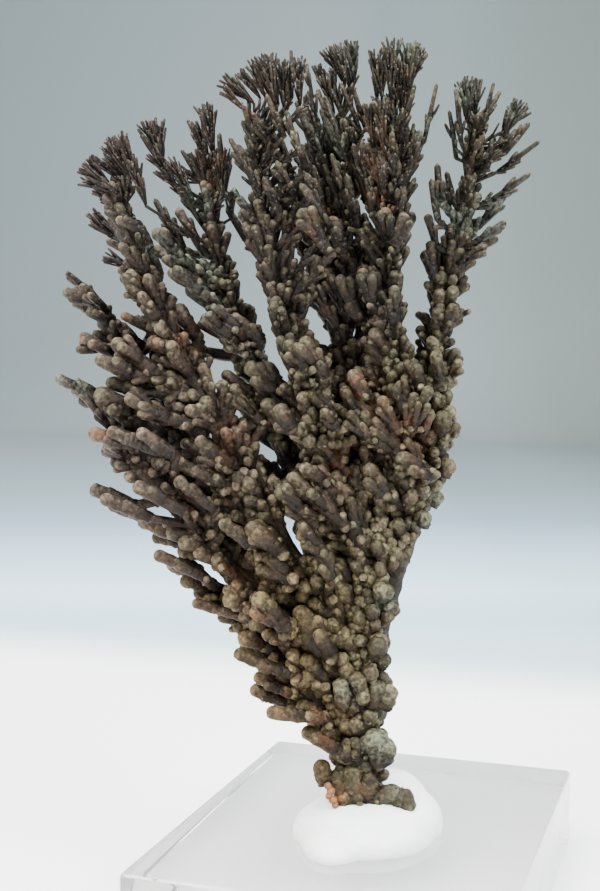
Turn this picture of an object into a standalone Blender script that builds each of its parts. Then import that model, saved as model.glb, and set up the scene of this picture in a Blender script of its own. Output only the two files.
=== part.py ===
"""Tree-like native copper on a clear display slab.

The copper grew as one flat fan: a trunk with eight forks, each fork carrying a main branch
that is set with round-ended fingers and bead-like knobs. It is split at those forks, so the
trunk and every main branch is a solid of its own. The foot is bedded in a mound of white
putty on a clear slab.

Lengths are in millimetres and are turned into metres where a mesh is made. The slab is
square to X and Y, with its underside at Z = 0. The fan is laid out in its own frame, with u
across it, v towards the viewer and z up, and stands turned about Z on the slab.
"""

import math
import random

import bmesh
import bpy
from mathutils import Matrix, Vector

MM = 0.001
TOUCH_GAP = 0.3

SLAB_WIDTH = 42.0
SLAB_DEPTH = 51.0
SLAB_THICKNESS = 10.0
SLAB_EDGE = 0.5

FAN_TURN = math.radians(18.7)
FAN_PLACE = (1.7, -6.0, 2.7)
FAN_HALF_DEPTH = 25.0
SLIT_HALF = 0.17
TRUNK_CLEARANCE = 0.42
GOLDEN_ANGLE = math.radians(137.5)

LOWEST_FINGER = 20.0
HIGHEST_FINGER = 95.0
THICK_FINGER = 1.10
THIN_FINGER = 0.55
LONG_FINGER = 8.0
SHORT_FINGER = 6.2
LENGTH_SPREAD = (0.8, 1.2)
FINGER_LEAN = (0.60, 0.85)
FINGER_SPACING = 3.3
FIRST_FINGER = 0.06
LAST_FINGER = 0.97
FINGER_BULGE = 1.1
SHOULDER = 0.55
FINGER_SEED = 7

# The fingers at each step along a stem: how far on, how far to the right, how far forward.
# The last of the three also swings a little to the side its step faces.
SIDE_FINGERS = [(0.0, 1.0, 0.25), (0.35, -1.0, -0.25)]
FACE_FINGER = (0.7, 0.35, 1.1)

TWIG_SIDES = 1
TWIG_DEPTH = 3.6
TWIG_RUN = 1.15
TWIG_BEND = 0.08
TWIG_TAPER = 0.8
LOWEST_TWIG = 0.02

TRUNK_STEM = [
    (-0.8, 0.0, 11.2), (-0.9, 0.0, 15.0), (-1.0, 0.0, 19.0), (-0.9, 0.0, 24.0), (-0.3, 0.0, 29.0),
    (0.9, 0.0, 34.0), (2.8, 0.0, 40.0), (5.0, 0.0, 46.0), (7.3, 0.0, 53.5),
]
TRUNK_THICKNESS = (2.3, 1.8)

# Knobs and short fingers on the trunk, each from its root to its end, with its radius.
TRUNK_KNOBS = [
    ((-0.6, 0.6, 18.0), (1.3, 1.2, 18.2), 1.9),
    ((-0.6, 0.6, 23.6), (1.8, 1.0, 24.3), 1.3),
    ((-0.2, 0.4, 27.8), (0.9, 0.6, 28.4), 1.35),
    ((0.3, 0.0, 31.6), (1.2, 0.4, 32.4), 1.4),
    ((1.0, 0.0, 34.2), (2.3, -0.4, 34.0), 1.0),
    ((1.0, 0.0, 36.0), (2.9, 0.4, 37.0), 1.2),
    ((2.4, 0.0, 38.6), (3.9, 0.2, 39.4), 1.2),
    ((3.8, 0.0, 42.6), (5.8, 0.4, 43.6), 1.15),
    ((4.8, 0.0, 45.2), (7.4, -0.4, 46.4), 0.9),
    ((5.4, 0.0, 48.0), (7.7, 0.6, 49.8), 1.1),
    ((-1.2, 1.4, 21.2), (-3.1, 2.6, 24.8), 1.1),
    ((-0.8, 1.0, 19.8), (-1.5, 3.2, 22.0), 1.2),
]
FOOT_KNOBS = [
    ((-2.2, 0.4, 13.4), (-4.4, 0.9, 15.1), 1.9),
    ((-0.6, 0.0, 11.9), (4.9, 0.6, 11.6), 1.35),
]

# The slits where the branches part. Each starts on the trunk and runs out to the rim.
FORK_LINES = [
    [(6.0, 54.0), (34.0, 50.0), (34.0, 105.0)],
    [(6.0, 54.0), (4.7, 60.0), (4.3, 65.4), (4.4, 71.6), (5.2, 80.0), (6.8, 86.5), (8.0, 91.0), (8.2, 105.0)],
    [(3.0, 46.5), (1.5, 54.0), (0.3, 62.0), (-0.1, 69.0), (-0.6, 80.0), (-0.9, 91.0), (-0.9, 105.0)],
    [(0.6, 40.0), (-2.6, 49.0), (-5.2, 58.5), (-7.0, 66.5), (-8.5, 74.5), (-9.6, 85.5), (-10.0, 105.0)],
    [(-0.8, 35.0), (-4.8, 43.5), (-8.4, 54.0), (-10.7, 63.0), (-13.6, 71.0), (-15.4, 78.0), (-16.6, 86.0),
     (-19.5, 105.0)],
    [(-1.8, 31.0), (-8.0, 41.0), (-12.3, 51.5), (-15.0, 60.0), (-18.8, 66.5), (-22.5, 72.0), (-24.8, 78.0),
     (-26.9, 86.0), (-28.0, 105.0)],
    [(-2.6, 27.5), (-10.6, 38.2), (-17.2, 48.5), (-23.0, 58.7), (-27.4, 67.0), (-31.4, 74.0), (-38.0, 84.0)],
    [(-3.2, 24.2), (-12.2, 35.6), (-19.6, 45.1), (-25.5, 54.2), (-30.5, 61.2), (-42.0, 66.0)],
    [(-3.8, 21.0), (-12.0, 29.8), (-19.2, 38.0), (-24.0, 43.2), (-28.0, 46.2), (-42.0, 46.4)],
    [(-4.2, 17.5), (-20.0, 12.0), (-42.0, 12.0)],
]

TRUNK_BELOW = [(34.0, 0.0), (-42.0, 0.0)]

# Each branch: its stem as (u, v, z), how thick the stem is at its two ends, and the twig
# tips on the fan's rim as (u, z). The branches follow the slits, from the right round.
BRANCHES = {
    "right_branch": {
        "stem": [(7.4, 0.0, 52.5), (7.3, 0.0, 60.0), (7.5, 0.0, 66.0), (8.5, 0.0, 71.5), (9.9, 0.5, 77.0),
                 (10.9, 1.0, 83.0), (11.6, 1.5, 88.0)],
        "thickness": (1.8, 0.6),
        "tips": [(9.2, 92.4), (10.8, 93.6), (12.2, 93.4), (14.0, 92.3), (16.6, 90.6), (17.7, 88.2),
                 (18.7, 86.1), (17.8, 82.7), (15.1, 80.3), (15.2, 77.2), (13.7, 75.9), (10.3, 68.2),
                 (10.0, 62.6), (9.2, 56.2), (8.2, 88.6)],
    },
    "centre_right_branch": {
        "stem": [(4.6, 0.0, 47.0), (3.4, 1.0, 54.0), (2.6, 2.0, 62.0), (2.3, 2.5, 70.0), (2.4, 3.0, 78.0),
                 (2.8, 3.0, 88.0)],
        "thickness": (1.6, 0.6),
        "tips": [(0.7, 96.5), (2.1, 97.6), (4.1, 97.4), (6.2, 96.2), (7.0, 92.7), (5.0, 87.7), (4.0, 80.0)],
    },
    "centre_branch": {
        "stem": [(2.2, 0.0, 41.0), (-0.2, -1.0, 50.0), (-2.2, -2.0, 59.0), (-3.5, -3.0, 68.0),
                 (-4.6, -3.0, 77.0), (-5.2, -3.0, 88.0)],
        "thickness": (1.6, 0.6),
        "tips": [(-9.0, 96.0), (-7.3, 95.1), (-5.2, 96.7), (-3.5, 94.1), (-2.2, 97.4), (-8.0, 86.0)],
    },
    "centre_left_branch": {
        "stem": [(0.8, 0.0, 36.0), (-2.8, 1.0, 44.5), (-6.2, 2.0, 54.0), (-8.8, 3.0, 63.0), (-11.0, 3.0, 72.0),
                 (-12.4, 3.0, 81.0), (-13.2, 3.0, 88.0)],
        "thickness": (1.5, 0.6),
        "tips": [(-16.6, 93.2), (-14.7, 94.0), (-13.3, 95.4), (-11.8, 95.9), (-10.8, 94.6), (-14.9, 84.0)],
    },
    "upper_left_branch": {
        "stem": [(0.2, 0.0, 31.5), (-5.2, -1.0, 41.5), (-9.6, -2.0, 51.0), (-12.8, -2.5, 60.0),
                 (-15.9, -3.0, 69.0), (-18.0, -3.0, 77.5), (-18.8, -3.0, 85.0)],
        "thickness": (1.5, 0.6),
        "tips": [(-21.6, 79.6), (-20.8, 86.4), (-20.2, 88.8), (-18.8, 90.5), (-17.6, 87.6), (-25.4, 88.0),
                 (-24.2, 88.8), (-23.0, 88.4), (-19.6, 66.8)],
    },
    "high_left_branch": {
        "stem": [(-1.0, 0.0, 28.0), (-7.0, 1.0, 37.0), (-13.0, 2.0, 47.0), (-18.2, 2.5, 57.0),
                 (-22.6, 3.0, 66.0), (-25.9, 3.0, 74.0), (-28.4, 3.0, 81.0)],
        "thickness": (1.5, 0.6),
        "tips": [(-32.5, 83.4), (-31.6, 84.4), (-30.7, 84.9), (-29.6, 86.1), (-28.2, 87.0), (-31.4, 78.6),
                 (-29.8, 78.4), (-29.8, 73.8), (-27.6, 71.0)],
    },
    "middle_left_branch": {
        "stem": [(-1.4, 0.0, 24.6), (-8.4, -1.0, 33.4), (-14.8, -2.0, 42.0), (-20.4, -2.5, 50.5),
                 (-25.2, -3.0, 58.5), (-29.0, -3.0, 65.0)],
        "thickness": (1.5, 0.7),
        "tips": [(-34.2, 71.8), (-34.5, 69.8), (-33.6, 68.4), (-32.1, 67.0), (-32.8, 64.4), (-31.2, 62.6),
                 (-28.4, 63.0)],
    },
    "low_left_branch": {
        "stem": [(-1.8, 0.0, 21.2), (-9.6, 1.0, 30.4), (-16.2, 2.0, 38.8), (-22.2, 2.5, 46.2),
                 (-27.6, 3.0, 52.5)],
        "thickness": (1.4, 0.8),
        "tips": [(-35.6, 59.9), (-33.9, 58.4), (-31.3, 56.6), (-32.2, 53.8), (-28.4, 51.8), (-31.9, 47.8),
                 (-27.1, 48.4)],
    },
    "bottom_left_branch": {
        "stem": [(-2.0, 0.0, 17.8), (-7.8, -0.5, 25.0), (-13.0, -1.0, 31.0), (-17.6, -1.5, 35.6),
                 (-21.4, -1.5, 39.4)],
        "thickness": (1.4, 0.9),
        "tips": [(-27.6, 44.9), (-26.1, 43.3), (-24.7, 41.4), (-23.6, 39.2), (-21.2, 37.2), (-20.5, 34.4),
                 (-15.6, 28.7), (-14.1, 25.6), (-12.6, 22.6), (-7.9, 19.7)],
    },
}
TRUNK_RULE_KNOBS = 34
KNOBS_FROM = 0.16
KNOB_REACH = 2.5
KNOB_RADIUS = 1.15
KNOB_TILT = 0.9

# Lumps of the pressed putty: centre and radii as (u, v, z).
PUTTY_LUMPS = [
    ((-0.6, 0.2, 8.0), (8.4, 7.8, 4.0)),
    ((2.9, -3.4, 9.0), (4.6, 4.2, 5.0)),
    ((5.4, -1.6, 8.4), (3.4, 4.6, 3.6)),
    ((-4.4, 4.2, 7.8), (3.6, 5.4, 2.6)),
]
PUTTY_HALF_WIDTH = 30.0
PUTTY_TOP = 40.0
PUTTY_FACETS = (16, 8)
FOOT_ROOM = 0.4
SEARCH_STEPS = 60
SAME_POINT = 1e-4
WELD = 1e-6
VOXEL = 0.4
BRANCH_FACETS = 715
TRUNK_FACETS = 940

# Each material: its colour, roughness, metal and transmission.
MATERIALS = {
    "clear_acrylic": ((0.93, 0.96, 0.97, 1.0), 0.05, 0.0, 1.0),
    "white_putty": ((0.88, 0.89, 0.90, 1.0), 0.55, 0.0, 0.0),
    "aged_copper": ((0.115, 0.090, 0.070, 1.0), 0.7, 0.35, 0.0),
}


def clear_scene():
    for obj in list(bpy.data.objects):
        bpy.data.objects.remove(obj)


def make_collection(name):
    collection = bpy.data.collections.new(name)
    bpy.context.scene.collection.children.link(collection)
    return collection


def make_material(name):
    colour, roughness, metallic, transmission = MATERIALS[name]
    material = bpy.data.materials.new(name)
    material.use_nodes = True
    shader = material.node_tree.nodes["Principled BSDF"]
    shader.inputs["Base Color"].default_value = colour
    shader.inputs["Roughness"].default_value = roughness
    shader.inputs["Metallic"].default_value = metallic
    shader.inputs["Transmission Weight"].default_value = transmission
    return material


def fan_matrix():
    """From the fan's (u, v, z) in millimetres to the world in metres."""
    across = Vector((math.cos(FAN_TURN), math.sin(FAN_TURN), 0.0)) * MM
    towards = Vector((math.sin(FAN_TURN), -math.cos(FAN_TURN), 0.0)) * MM
    up = Vector((0.0, 0.0, MM))
    turned = Matrix((across, towards, up)).transposed().to_4x4()
    return Matrix.Translation(Vector(FAN_PLACE) * MM) @ turned


def link_mesh(mesh, name, collection):
    obj = bpy.data.objects.new(name, mesh)
    collection.objects.link(obj)
    return obj


def mesh_from_bmesh(shape, name):
    mesh = bpy.data.meshes.new(name)
    shape.to_mesh(mesh)
    shape.free()
    return mesh


def along(points, share):
    """The point and direction at a share of the length of a run of points."""
    lengths = [(b - a).length for a, b in zip(points, points[1:])]
    left = share * sum(lengths)
    for start, end, length in zip(points, points[1:], lengths):
        if left <= length:
            break
        left -= length
    direction = (end - start).normalized()
    return start + direction * min(left, length), direction


def nearest_share(points, target):
    """The share of the run's length whose point lies nearest to the target."""
    shares = [step / SEARCH_STEPS for step in range(SEARCH_STEPS + 1)]
    return min(shares, key=lambda share: (along(points, share)[0] - target).length)


def add_finger(shape, root, end, radius):
    """A blunt finger: an icosphere drawn out from its root to its end."""
    axis = end - root
    half = axis.length / 2 + radius
    turn = axis.to_track_quat("Z", "Y").to_matrix().to_4x4()
    place = Matrix.Translation((root + end) / 2) @ turn @ Matrix.Diagonal((radius, radius, half, 1.0))
    made = bmesh.ops.create_icosphere(shape, subdivisions=1, radius=1.0)
    shoulder = 1.0 - radius / half * SHOULDER
    for vert in made["verts"]:
        if vert.co.xy.length > WELD:
            vert.co.z = math.copysign(shoulder, vert.co.z)
            vert.co.xy *= FINGER_BULGE
        vert.co = place @ vert.co


def tubes_as_mesh(runs):
    """Round twigs as one mesh: each run is (points, radii), in the fan's frame."""
    curve = bpy.data.curves.new("twigs", "CURVE")
    curve.dimensions = "3D"
    curve.bevel_depth = 1.0
    curve.bevel_resolution = TWIG_SIDES
    curve.use_fill_caps = True
    for points, radii in runs:
        spline = curve.splines.new("POLY")
        spline.points.add(len(points) - 1)
        for knot, point, radius in zip(spline.points, points, radii):
            knot.co = (*point, 1.0)
            knot.radius = radius
    holder = bpy.data.objects.new("twigs", curve)
    bpy.context.scene.collection.objects.link(holder)
    graph = bpy.context.evaluated_depsgraph_get()
    mesh = bpy.data.meshes.new_from_object(holder.evaluated_get(graph))
    bpy.data.objects.remove(holder)
    return mesh


def height_share(z):
    share = (z - LOWEST_FINGER) / (HIGHEST_FINGER - LOWEST_FINGER)
    return min(max(share, 0.0), 1.0)


def finger_radius(z):
    return THICK_FINGER + (THIN_FINGER - THICK_FINGER) * height_share(z)


def finger_length(z):
    return LONG_FINGER + (SHORT_FINGER - LONG_FINGER) * height_share(z)


def twig_to_tip(stem, tip, order):
    """A twig that leaves the stem low down and bends up to a tip on the rim."""
    depth = TWIG_DEPTH * math.sin(GOLDEN_ANGLE * order)
    level = along(stem, nearest_share(stem, Vector((tip[0], 0.0, tip[1]))))[0]
    end = Vector((tip[0], level.y + depth, tip[1]))
    share = nearest_share(stem, end)
    total = sum((b - a).length for a, b in zip(stem, stem[1:]))
    reach = (along(stem, share)[0] - end).length
    root, direction = along(stem, max(share - TWIG_RUN * reach / total, LOWEST_TWIG))
    middle = (root + end) / 2 + direction * reach * TWIG_BEND
    return [root, middle, end]


def rule_fingers(stem, draw):
    """Fingers set along a stem like barbs: left, right, and to the front or back by turns."""
    total = sum((b - a).length for a, b in zip(stem, stem[1:]))
    steps = round(total / FINGER_SPACING)
    fingers = []
    for step in range(steps):
        face = 1.0 if step % 2 else -1.0
        swung = (FACE_FINGER[0], FACE_FINGER[1] * face, FACE_FINGER[2])
        for offset, across, forward in SIDE_FINGERS + [swung]:
            share = FIRST_FINGER + (LAST_FINGER - FIRST_FINGER) * (step + offset) / steps
            root, direction = along(stem, share)
            side = direction.cross(Vector((0.0, 1.0, 0.0))).normalized()
            front = Vector((0.0, 1.0, 0.0))
            lean = draw.uniform(*FINGER_LEAN)
            outward = side * across + front * forward * face
            heading = (direction + outward * lean).normalized()
            length = finger_length(root.z) * draw.uniform(*LENGTH_SPREAD)
            fingers.append((root, root + heading * length, finger_radius(root.z)))
    return fingers


def joined_copper(name, runs, fingers, collection):
    """The twigs and fingers of one piece, grown together into one closed solid."""
    shape = bmesh.new()
    shape.from_mesh(tubes_as_mesh(runs))
    bmesh.ops.remove_doubles(shape, verts=shape.verts, dist=SAME_POINT)
    for root, end, radius in fingers:
        add_finger(shape, root, end, radius)
    bmesh.ops.transform(shape, matrix=fan_matrix(), verts=shape.verts)
    bmesh.ops.recalc_face_normals(shape, faces=shape.faces)
    return link_mesh(mesh_from_bmesh(shape, name), name, collection)


def sector_cutter(name, outline, collection):
    """A block through the fan's whole depth, with an outline of (u, z) points."""
    shape = bmesh.new()
    front = [shape.verts.new((u, FAN_HALF_DEPTH, z)) for u, z in outline]
    face = shape.faces.new(front)
    made = bmesh.ops.extrude_face_region(shape, geom=[face])
    moved = [item for item in made["geom"] if isinstance(item, bmesh.types.BMVert)]
    bmesh.ops.translate(shape, vec=(0.0, -2 * FAN_HALF_DEPTH, 0.0), verts=moved)
    bmesh.ops.transform(shape, matrix=fan_matrix(), verts=shape.verts)
    bmesh.ops.recalc_face_normals(shape, faces=shape.faces)
    cutter = link_mesh(mesh_from_bmesh(shape, name), name, collection)
    cutter.hide_render = True
    cutter.display_type = "WIRE"
    return cutter


def shifted(line, distance):
    """A slit's line moved sideways, to the right of its run for a positive distance."""
    moved = []
    for index, (u, z) in enumerate(line):
        before = Vector(line[max(index - 1, 0)])
        after = Vector(line[min(index + 1, len(line) - 1)])
        run = (after - before).normalized()
        moved.append((u + run.y * distance, z - run.x * distance))
    return moved


def off_trunk(point):
    return (point[0] - TRUNK_CLEARANCE, point[1])


def branch_outline(order):
    """The sector between two slits, kept clear of the trunk."""
    right = shifted(FORK_LINES[order], -SLIT_HALF)
    left = shifted(FORK_LINES[order + 1], SLIT_HALF)
    right[0] = off_trunk(right[0])
    left[0] = off_trunk(left[0])
    return right + left[::-1]


def trunk_outline():
    """All that lies below the lowest slit and to the right of the forks."""
    lowest = shifted(FORK_LINES[-1], -SLIT_HALF)
    first = shifted(FORK_LINES[0], SLIT_HALF)
    forks = [line[0] for line in reversed(FORK_LINES[1:-1])]
    return lowest[::-1] + forks + first[:2] + TRUNK_BELOW


def islands_of(shape):
    """Groups of faces that hang together across edges shared by just two of them."""
    unseen = set(shape.faces)
    islands = []
    while unseen:
        front = [unseen.pop()]
        island = list(front)
        while front:
            face = front.pop()
            shared = [edge for edge in face.edges if len(edge.link_faces) == 2]
            beyond = {other for edge in shared for other in edge.link_faces} & unseen
            unseen -= beyond
            front.extend(beyond)
            island.extend(beyond)
        islands.append(island)
    return islands


def baked(obj, name, collection):
    """The object as its modifiers leave it, as a plain mesh with only its largest island."""
    graph = bpy.context.evaluated_depsgraph_get()
    shape = bmesh.new()
    shape.from_mesh(obj.evaluated_get(graph).data)
    bpy.data.objects.remove(obj)
    bmesh.ops.remove_doubles(shape, verts=shape.verts, dist=WELD)
    bmesh.ops.triangulate(shape, faces=shape.faces)
    islands = islands_of(shape)
    keep = max(islands, key=len)
    spare = [face for island in islands if island is not keep for face in island]
    bmesh.ops.delete(shape, geom=spare, context="FACES")
    return link_mesh(mesh_from_bmesh(shape, name), name, collection)


def tapered(points, thickness):
    """Radii that run evenly from the thickness at the root to that at the end."""
    last = len(points) - 1
    return [thickness[0] + (thickness[1] - thickness[0]) * i / last for i in range(last + 1)]


def copper_piece(name, runs, fingers, outline, facets, parts, cutters):
    """One main piece of the copper, grown together and kept inside its own sector."""
    rough = joined_copper(name + "_rough", runs, fingers, parts)
    fuse = rough.modifiers.new("grown_together", "REMESH")
    fuse.mode = "VOXEL"
    fuse.voxel_size = VOXEL * MM
    fused = baked(rough, name + "_fused", parts)
    thin = fused.modifiers.new("fewer_facets", "DECIMATE")
    thin.ratio = facets / len(fused.data.polygons)
    light = baked(fused, name + "_light", parts)
    sector = sector_cutter(name + "_sector", outline, cutters)
    cut = light.modifiers.new("sector", "BOOLEAN")
    cut.operation = "INTERSECT"
    cut.solver = "EXACT"
    cut.use_self = True
    cut.object = sector
    return baked(light, name, parts)


def make_branch(name, order, draw, parts, cutters):
    plan = BRANCHES[name]
    stem = [Vector(point) for point in plan["stem"]]
    runs = [(stem, tapered(stem, plan["thickness"]))]
    for index, tip in enumerate(plan["tips"]):
        twig = twig_to_tip(stem, tip, index)
        thick = finger_radius(tip[1])
        runs.append((twig, tapered(twig, (thick, thick * TWIG_TAPER))))
    fingers = rule_fingers(stem, draw)
    return copper_piece(name, runs, fingers, branch_outline(order), BRANCH_FACETS, parts, cutters)


def trunk_fingers():
    return [(Vector(root), Vector(end), radius) for root, end, radius in TRUNK_KNOBS + FOOT_KNOBS]


def rule_knobs(stem):
    """Short knobs set round the trunk by the golden angle, each tilted up a little."""
    knobs = []
    for order in range(TRUNK_RULE_KNOBS):
        root, direction = along(stem, KNOBS_FROM + (1.0 - KNOBS_FROM) * order / TRUNK_RULE_KNOBS)
        turn = GOLDEN_ANGLE * order
        outward = Vector((math.cos(turn), math.sin(turn), 0.0))
        knobs.append((root, root + (outward + direction * KNOB_TILT) * KNOB_REACH, KNOB_RADIUS))
    return knobs


def make_trunk(parts, cutters):
    stem = [Vector(point) for point in TRUNK_STEM]
    runs = [(stem, tapered(stem, TRUNK_THICKNESS))]
    fingers = trunk_fingers() + rule_knobs(stem)
    return copper_piece("trunk", runs, fingers, trunk_outline(), TRUNK_FACETS, parts, cutters)


def make_slab(parts):
    bpy.ops.mesh.primitive_cube_add(size=1.0)
    slab = bpy.context.object
    slab.name = "acrylic_base"
    size = Vector((SLAB_WIDTH, SLAB_DEPTH, SLAB_THICKNESS)) * MM
    slab.data.transform(Matrix.Translation((0.0, 0.0, size.z / 2)) @ Matrix.Diagonal((*size, 1.0)))
    edge = slab.modifiers.new("polished_edge", "BEVEL")
    edge.width = SLAB_EDGE * MM
    edge.segments = 2
    for collection in slab.users_collection:
        collection.objects.unlink(slab)
    parts.objects.link(slab)
    return slab


def make_putty(parts, cutters):
    """A pressed blob with a flat underside, thumbed up behind the copper's foot."""
    shape = bmesh.new()
    floor = SLAB_THICKNESS + TOUCH_GAP - FAN_PLACE[2]
    around, upward = PUTTY_FACETS
    for centre, radii in PUTTY_LUMPS:
        made = bmesh.ops.create_uvsphere(shape, u_segments=around, v_segments=upward, radius=1.0)
        place = Matrix.Translation(centre) @ Matrix.Diagonal((*radii, 1.0))
        bmesh.ops.transform(shape, matrix=place, verts=made["verts"])
    bmesh.ops.transform(shape, matrix=fan_matrix(), verts=shape.verts)
    blob = link_mesh(mesh_from_bmesh(shape, "putty_blob"), "putty_blob", parts)
    outline = [(-PUTTY_HALF_WIDTH, floor), (PUTTY_HALF_WIDTH, floor),
               (PUTTY_HALF_WIDTH, PUTTY_TOP), (-PUTTY_HALF_WIDTH, PUTTY_TOP)]
    above = sector_cutter("above_slab", outline, cutters)
    trim = blob.modifiers.new("flat_underside", "BOOLEAN")
    trim.operation = "INTERSECT"
    trim.use_self = True
    trim.object = above
    foot = [(root, end, radius + FOOT_ROOM) for root, end, radius in trunk_fingers()]
    stem = [Vector(point) for point in TRUNK_STEM]
    stem[0] = stem[0] - Vector((0.0, 0.0, FOOT_ROOM))
    radii = [radius + FOOT_ROOM for radius in tapered(stem, TRUNK_THICKNESS)]
    socket = joined_copper("foot_socket", [(stem, radii)], foot, cutters)
    socket.hide_render = True
    socket.display_type = "WIRE"
    dig = blob.modifiers.new("foot_socket", "BOOLEAN")
    dig.operation = "DIFFERENCE"
    dig.use_self = True
    dig.object = socket
    return baked(blob, "putty_mound", parts)


def main():
    clear_scene()
    parts = make_collection("native_copper_specimen")
    cutters = make_collection("cutters")
    copper = make_material("aged_copper")
    make_slab(parts).data.materials.append(make_material("clear_acrylic"))
    make_putty(parts, cutters).data.materials.append(make_material("white_putty"))
    make_trunk(parts, cutters).data.materials.append(copper)
    draw = random.Random(FINGER_SEED)
    for order, name in enumerate(BRANCHES):
        branch = make_branch(name, order, draw, parts, cutters)
        branch.data.materials.append(copper)


main()
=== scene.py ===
"""Tree-like native copper, bedded in white putty on a clear display slab.

The copper is one flat fan of round-headed fingers. Its places are given in the fan's own frame
in millimetres: u across the fan, v towards the viewer and z up from the foot. Shoots and knobs
that show on their own are given by where the viewpoint sees them in its frame. Each section
makes one piece, or one group of like pieces, with its sizes, its mesh and its finish.
"""

import math
import random

import bpy
import numpy as np
from mathutils import Matrix, Vector


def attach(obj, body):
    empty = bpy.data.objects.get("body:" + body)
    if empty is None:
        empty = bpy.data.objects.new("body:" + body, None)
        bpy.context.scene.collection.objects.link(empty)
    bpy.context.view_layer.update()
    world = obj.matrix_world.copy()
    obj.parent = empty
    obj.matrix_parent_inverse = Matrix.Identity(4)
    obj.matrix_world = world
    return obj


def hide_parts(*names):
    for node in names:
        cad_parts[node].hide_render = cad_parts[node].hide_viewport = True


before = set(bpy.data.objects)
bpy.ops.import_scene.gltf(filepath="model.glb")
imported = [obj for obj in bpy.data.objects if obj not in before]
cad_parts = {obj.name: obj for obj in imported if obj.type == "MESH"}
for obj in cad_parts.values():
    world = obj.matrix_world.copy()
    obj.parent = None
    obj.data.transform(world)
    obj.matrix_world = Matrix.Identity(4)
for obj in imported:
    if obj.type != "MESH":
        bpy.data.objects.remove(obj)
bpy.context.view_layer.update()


# The viewpoint: a hand-held close view, a little above the slab and turned to face the fan,
# which stands across the slab at the same angle.
MM = 0.001
FACING = math.radians(18.74)
DIP = math.radians(4.2)
LENS = 52.53
SENSOR = 36.0
FRAME_SIZE = (600, 891)
EYE_ASIDE = -0.00837
EYE_AWAY = -0.15397
EYE_HEIGHT = 0.06635
RIGHTWARD = Vector((math.cos(FACING), math.sin(FACING), 0.0))
FORWARD = Vector((-math.sin(FACING), math.cos(FACING), 0.0))
EYE = RIGHTWARD * EYE_ASIDE + FORWARD * EYE_AWAY + Vector((0.0, 0.0, EYE_HEIGHT))
SIGHT = FORWARD * math.cos(DIP) - Vector((0.0, 0.0, math.sin(DIP)))

bpy.ops.object.select_all(action="DESELECT")
bpy.ops.object.camera_add(location=EYE, rotation=SIGHT.to_track_quat("-Z", "Y").to_euler())
viewpoint = bpy.context.object
viewpoint.name = "viewpoint"
viewpoint.data.lens = LENS
viewpoint.data.sensor_width = SENSOR
viewpoint.data.clip_start = MM
bpy.context.scene.camera = viewpoint


# The table and backdrop: one pale card, white where the specimen stands. Past a soft edge it
# turns to a cool grey, and it sweeps up in a wide bend a long way off. Its shades change with
# the distance away and aside, both measured square to the view: away they are partly the card's grey and
# partly painted falloff of the light, and aside they darken to the right as painted shade.
SWEEP_HALF_WIDTH = 1.6
SWEEP_FRONT = 0.9
SWEEP_FLAT = 0.75
SWEEP_BEND = 0.25
SWEEP_HEIGHT = 1.0
SWEEP_STEPS = 24
CARD_RISE = 0.03 * MM
CARD_WHITE = (0.97, 0.97, 0.965)
CARD_ROUGHNESS = 0.6
CARD_SHEEN = 0.25
CARD_EDGE = [(0.092, (1.0, 1.0, 1.0)), (0.122, (0.0, 0.0, 0.0))]
CARD_SKEW = 0.339
CARD_FAR = 1.25
# Painted light falloff: the card's grey, made darker or lighter away from the view where less or more
# light falls on the sweep.
CARD_GREY_AND_PAINTED_FALLOFF = [
    (0.10, (0.50, 0.63, 0.68)), (0.171, (0.42, 0.57, 0.65)), (0.214, (0.52, 0.68, 0.80)),
    (0.268, (0.43, 0.59, 0.72)), (0.371, (0.284, 0.382, 0.474)), (0.487, (0.292, 0.385, 0.42)),
    (0.596, (0.335, 0.417, 0.47)), (0.748, (0.40, 0.478, 0.515)), (0.85, (0.45, 0.52, 0.545)),
    (0.97, (0.475, 0.55, 0.575)), (1.05, (0.43, 0.51, 0.53)), (1.12, (0.40, 0.47, 0.485)),
]
# Painted shade: the card grows darker aside to the right, a painted soft shadow.
CARD_PAINTED_SHADE_ASIDE = [
    (0.0, (1.0, 1.0, 1.0)), (0.05, (0.92, 0.93, 0.93)), (0.07, (0.85, 0.87, 0.87)),
    (0.13, (0.84, 0.85, 0.83)), (0.20, (0.69, 0.695, 0.645)), (0.27, (0.60, 0.61, 0.56)),
]


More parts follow.
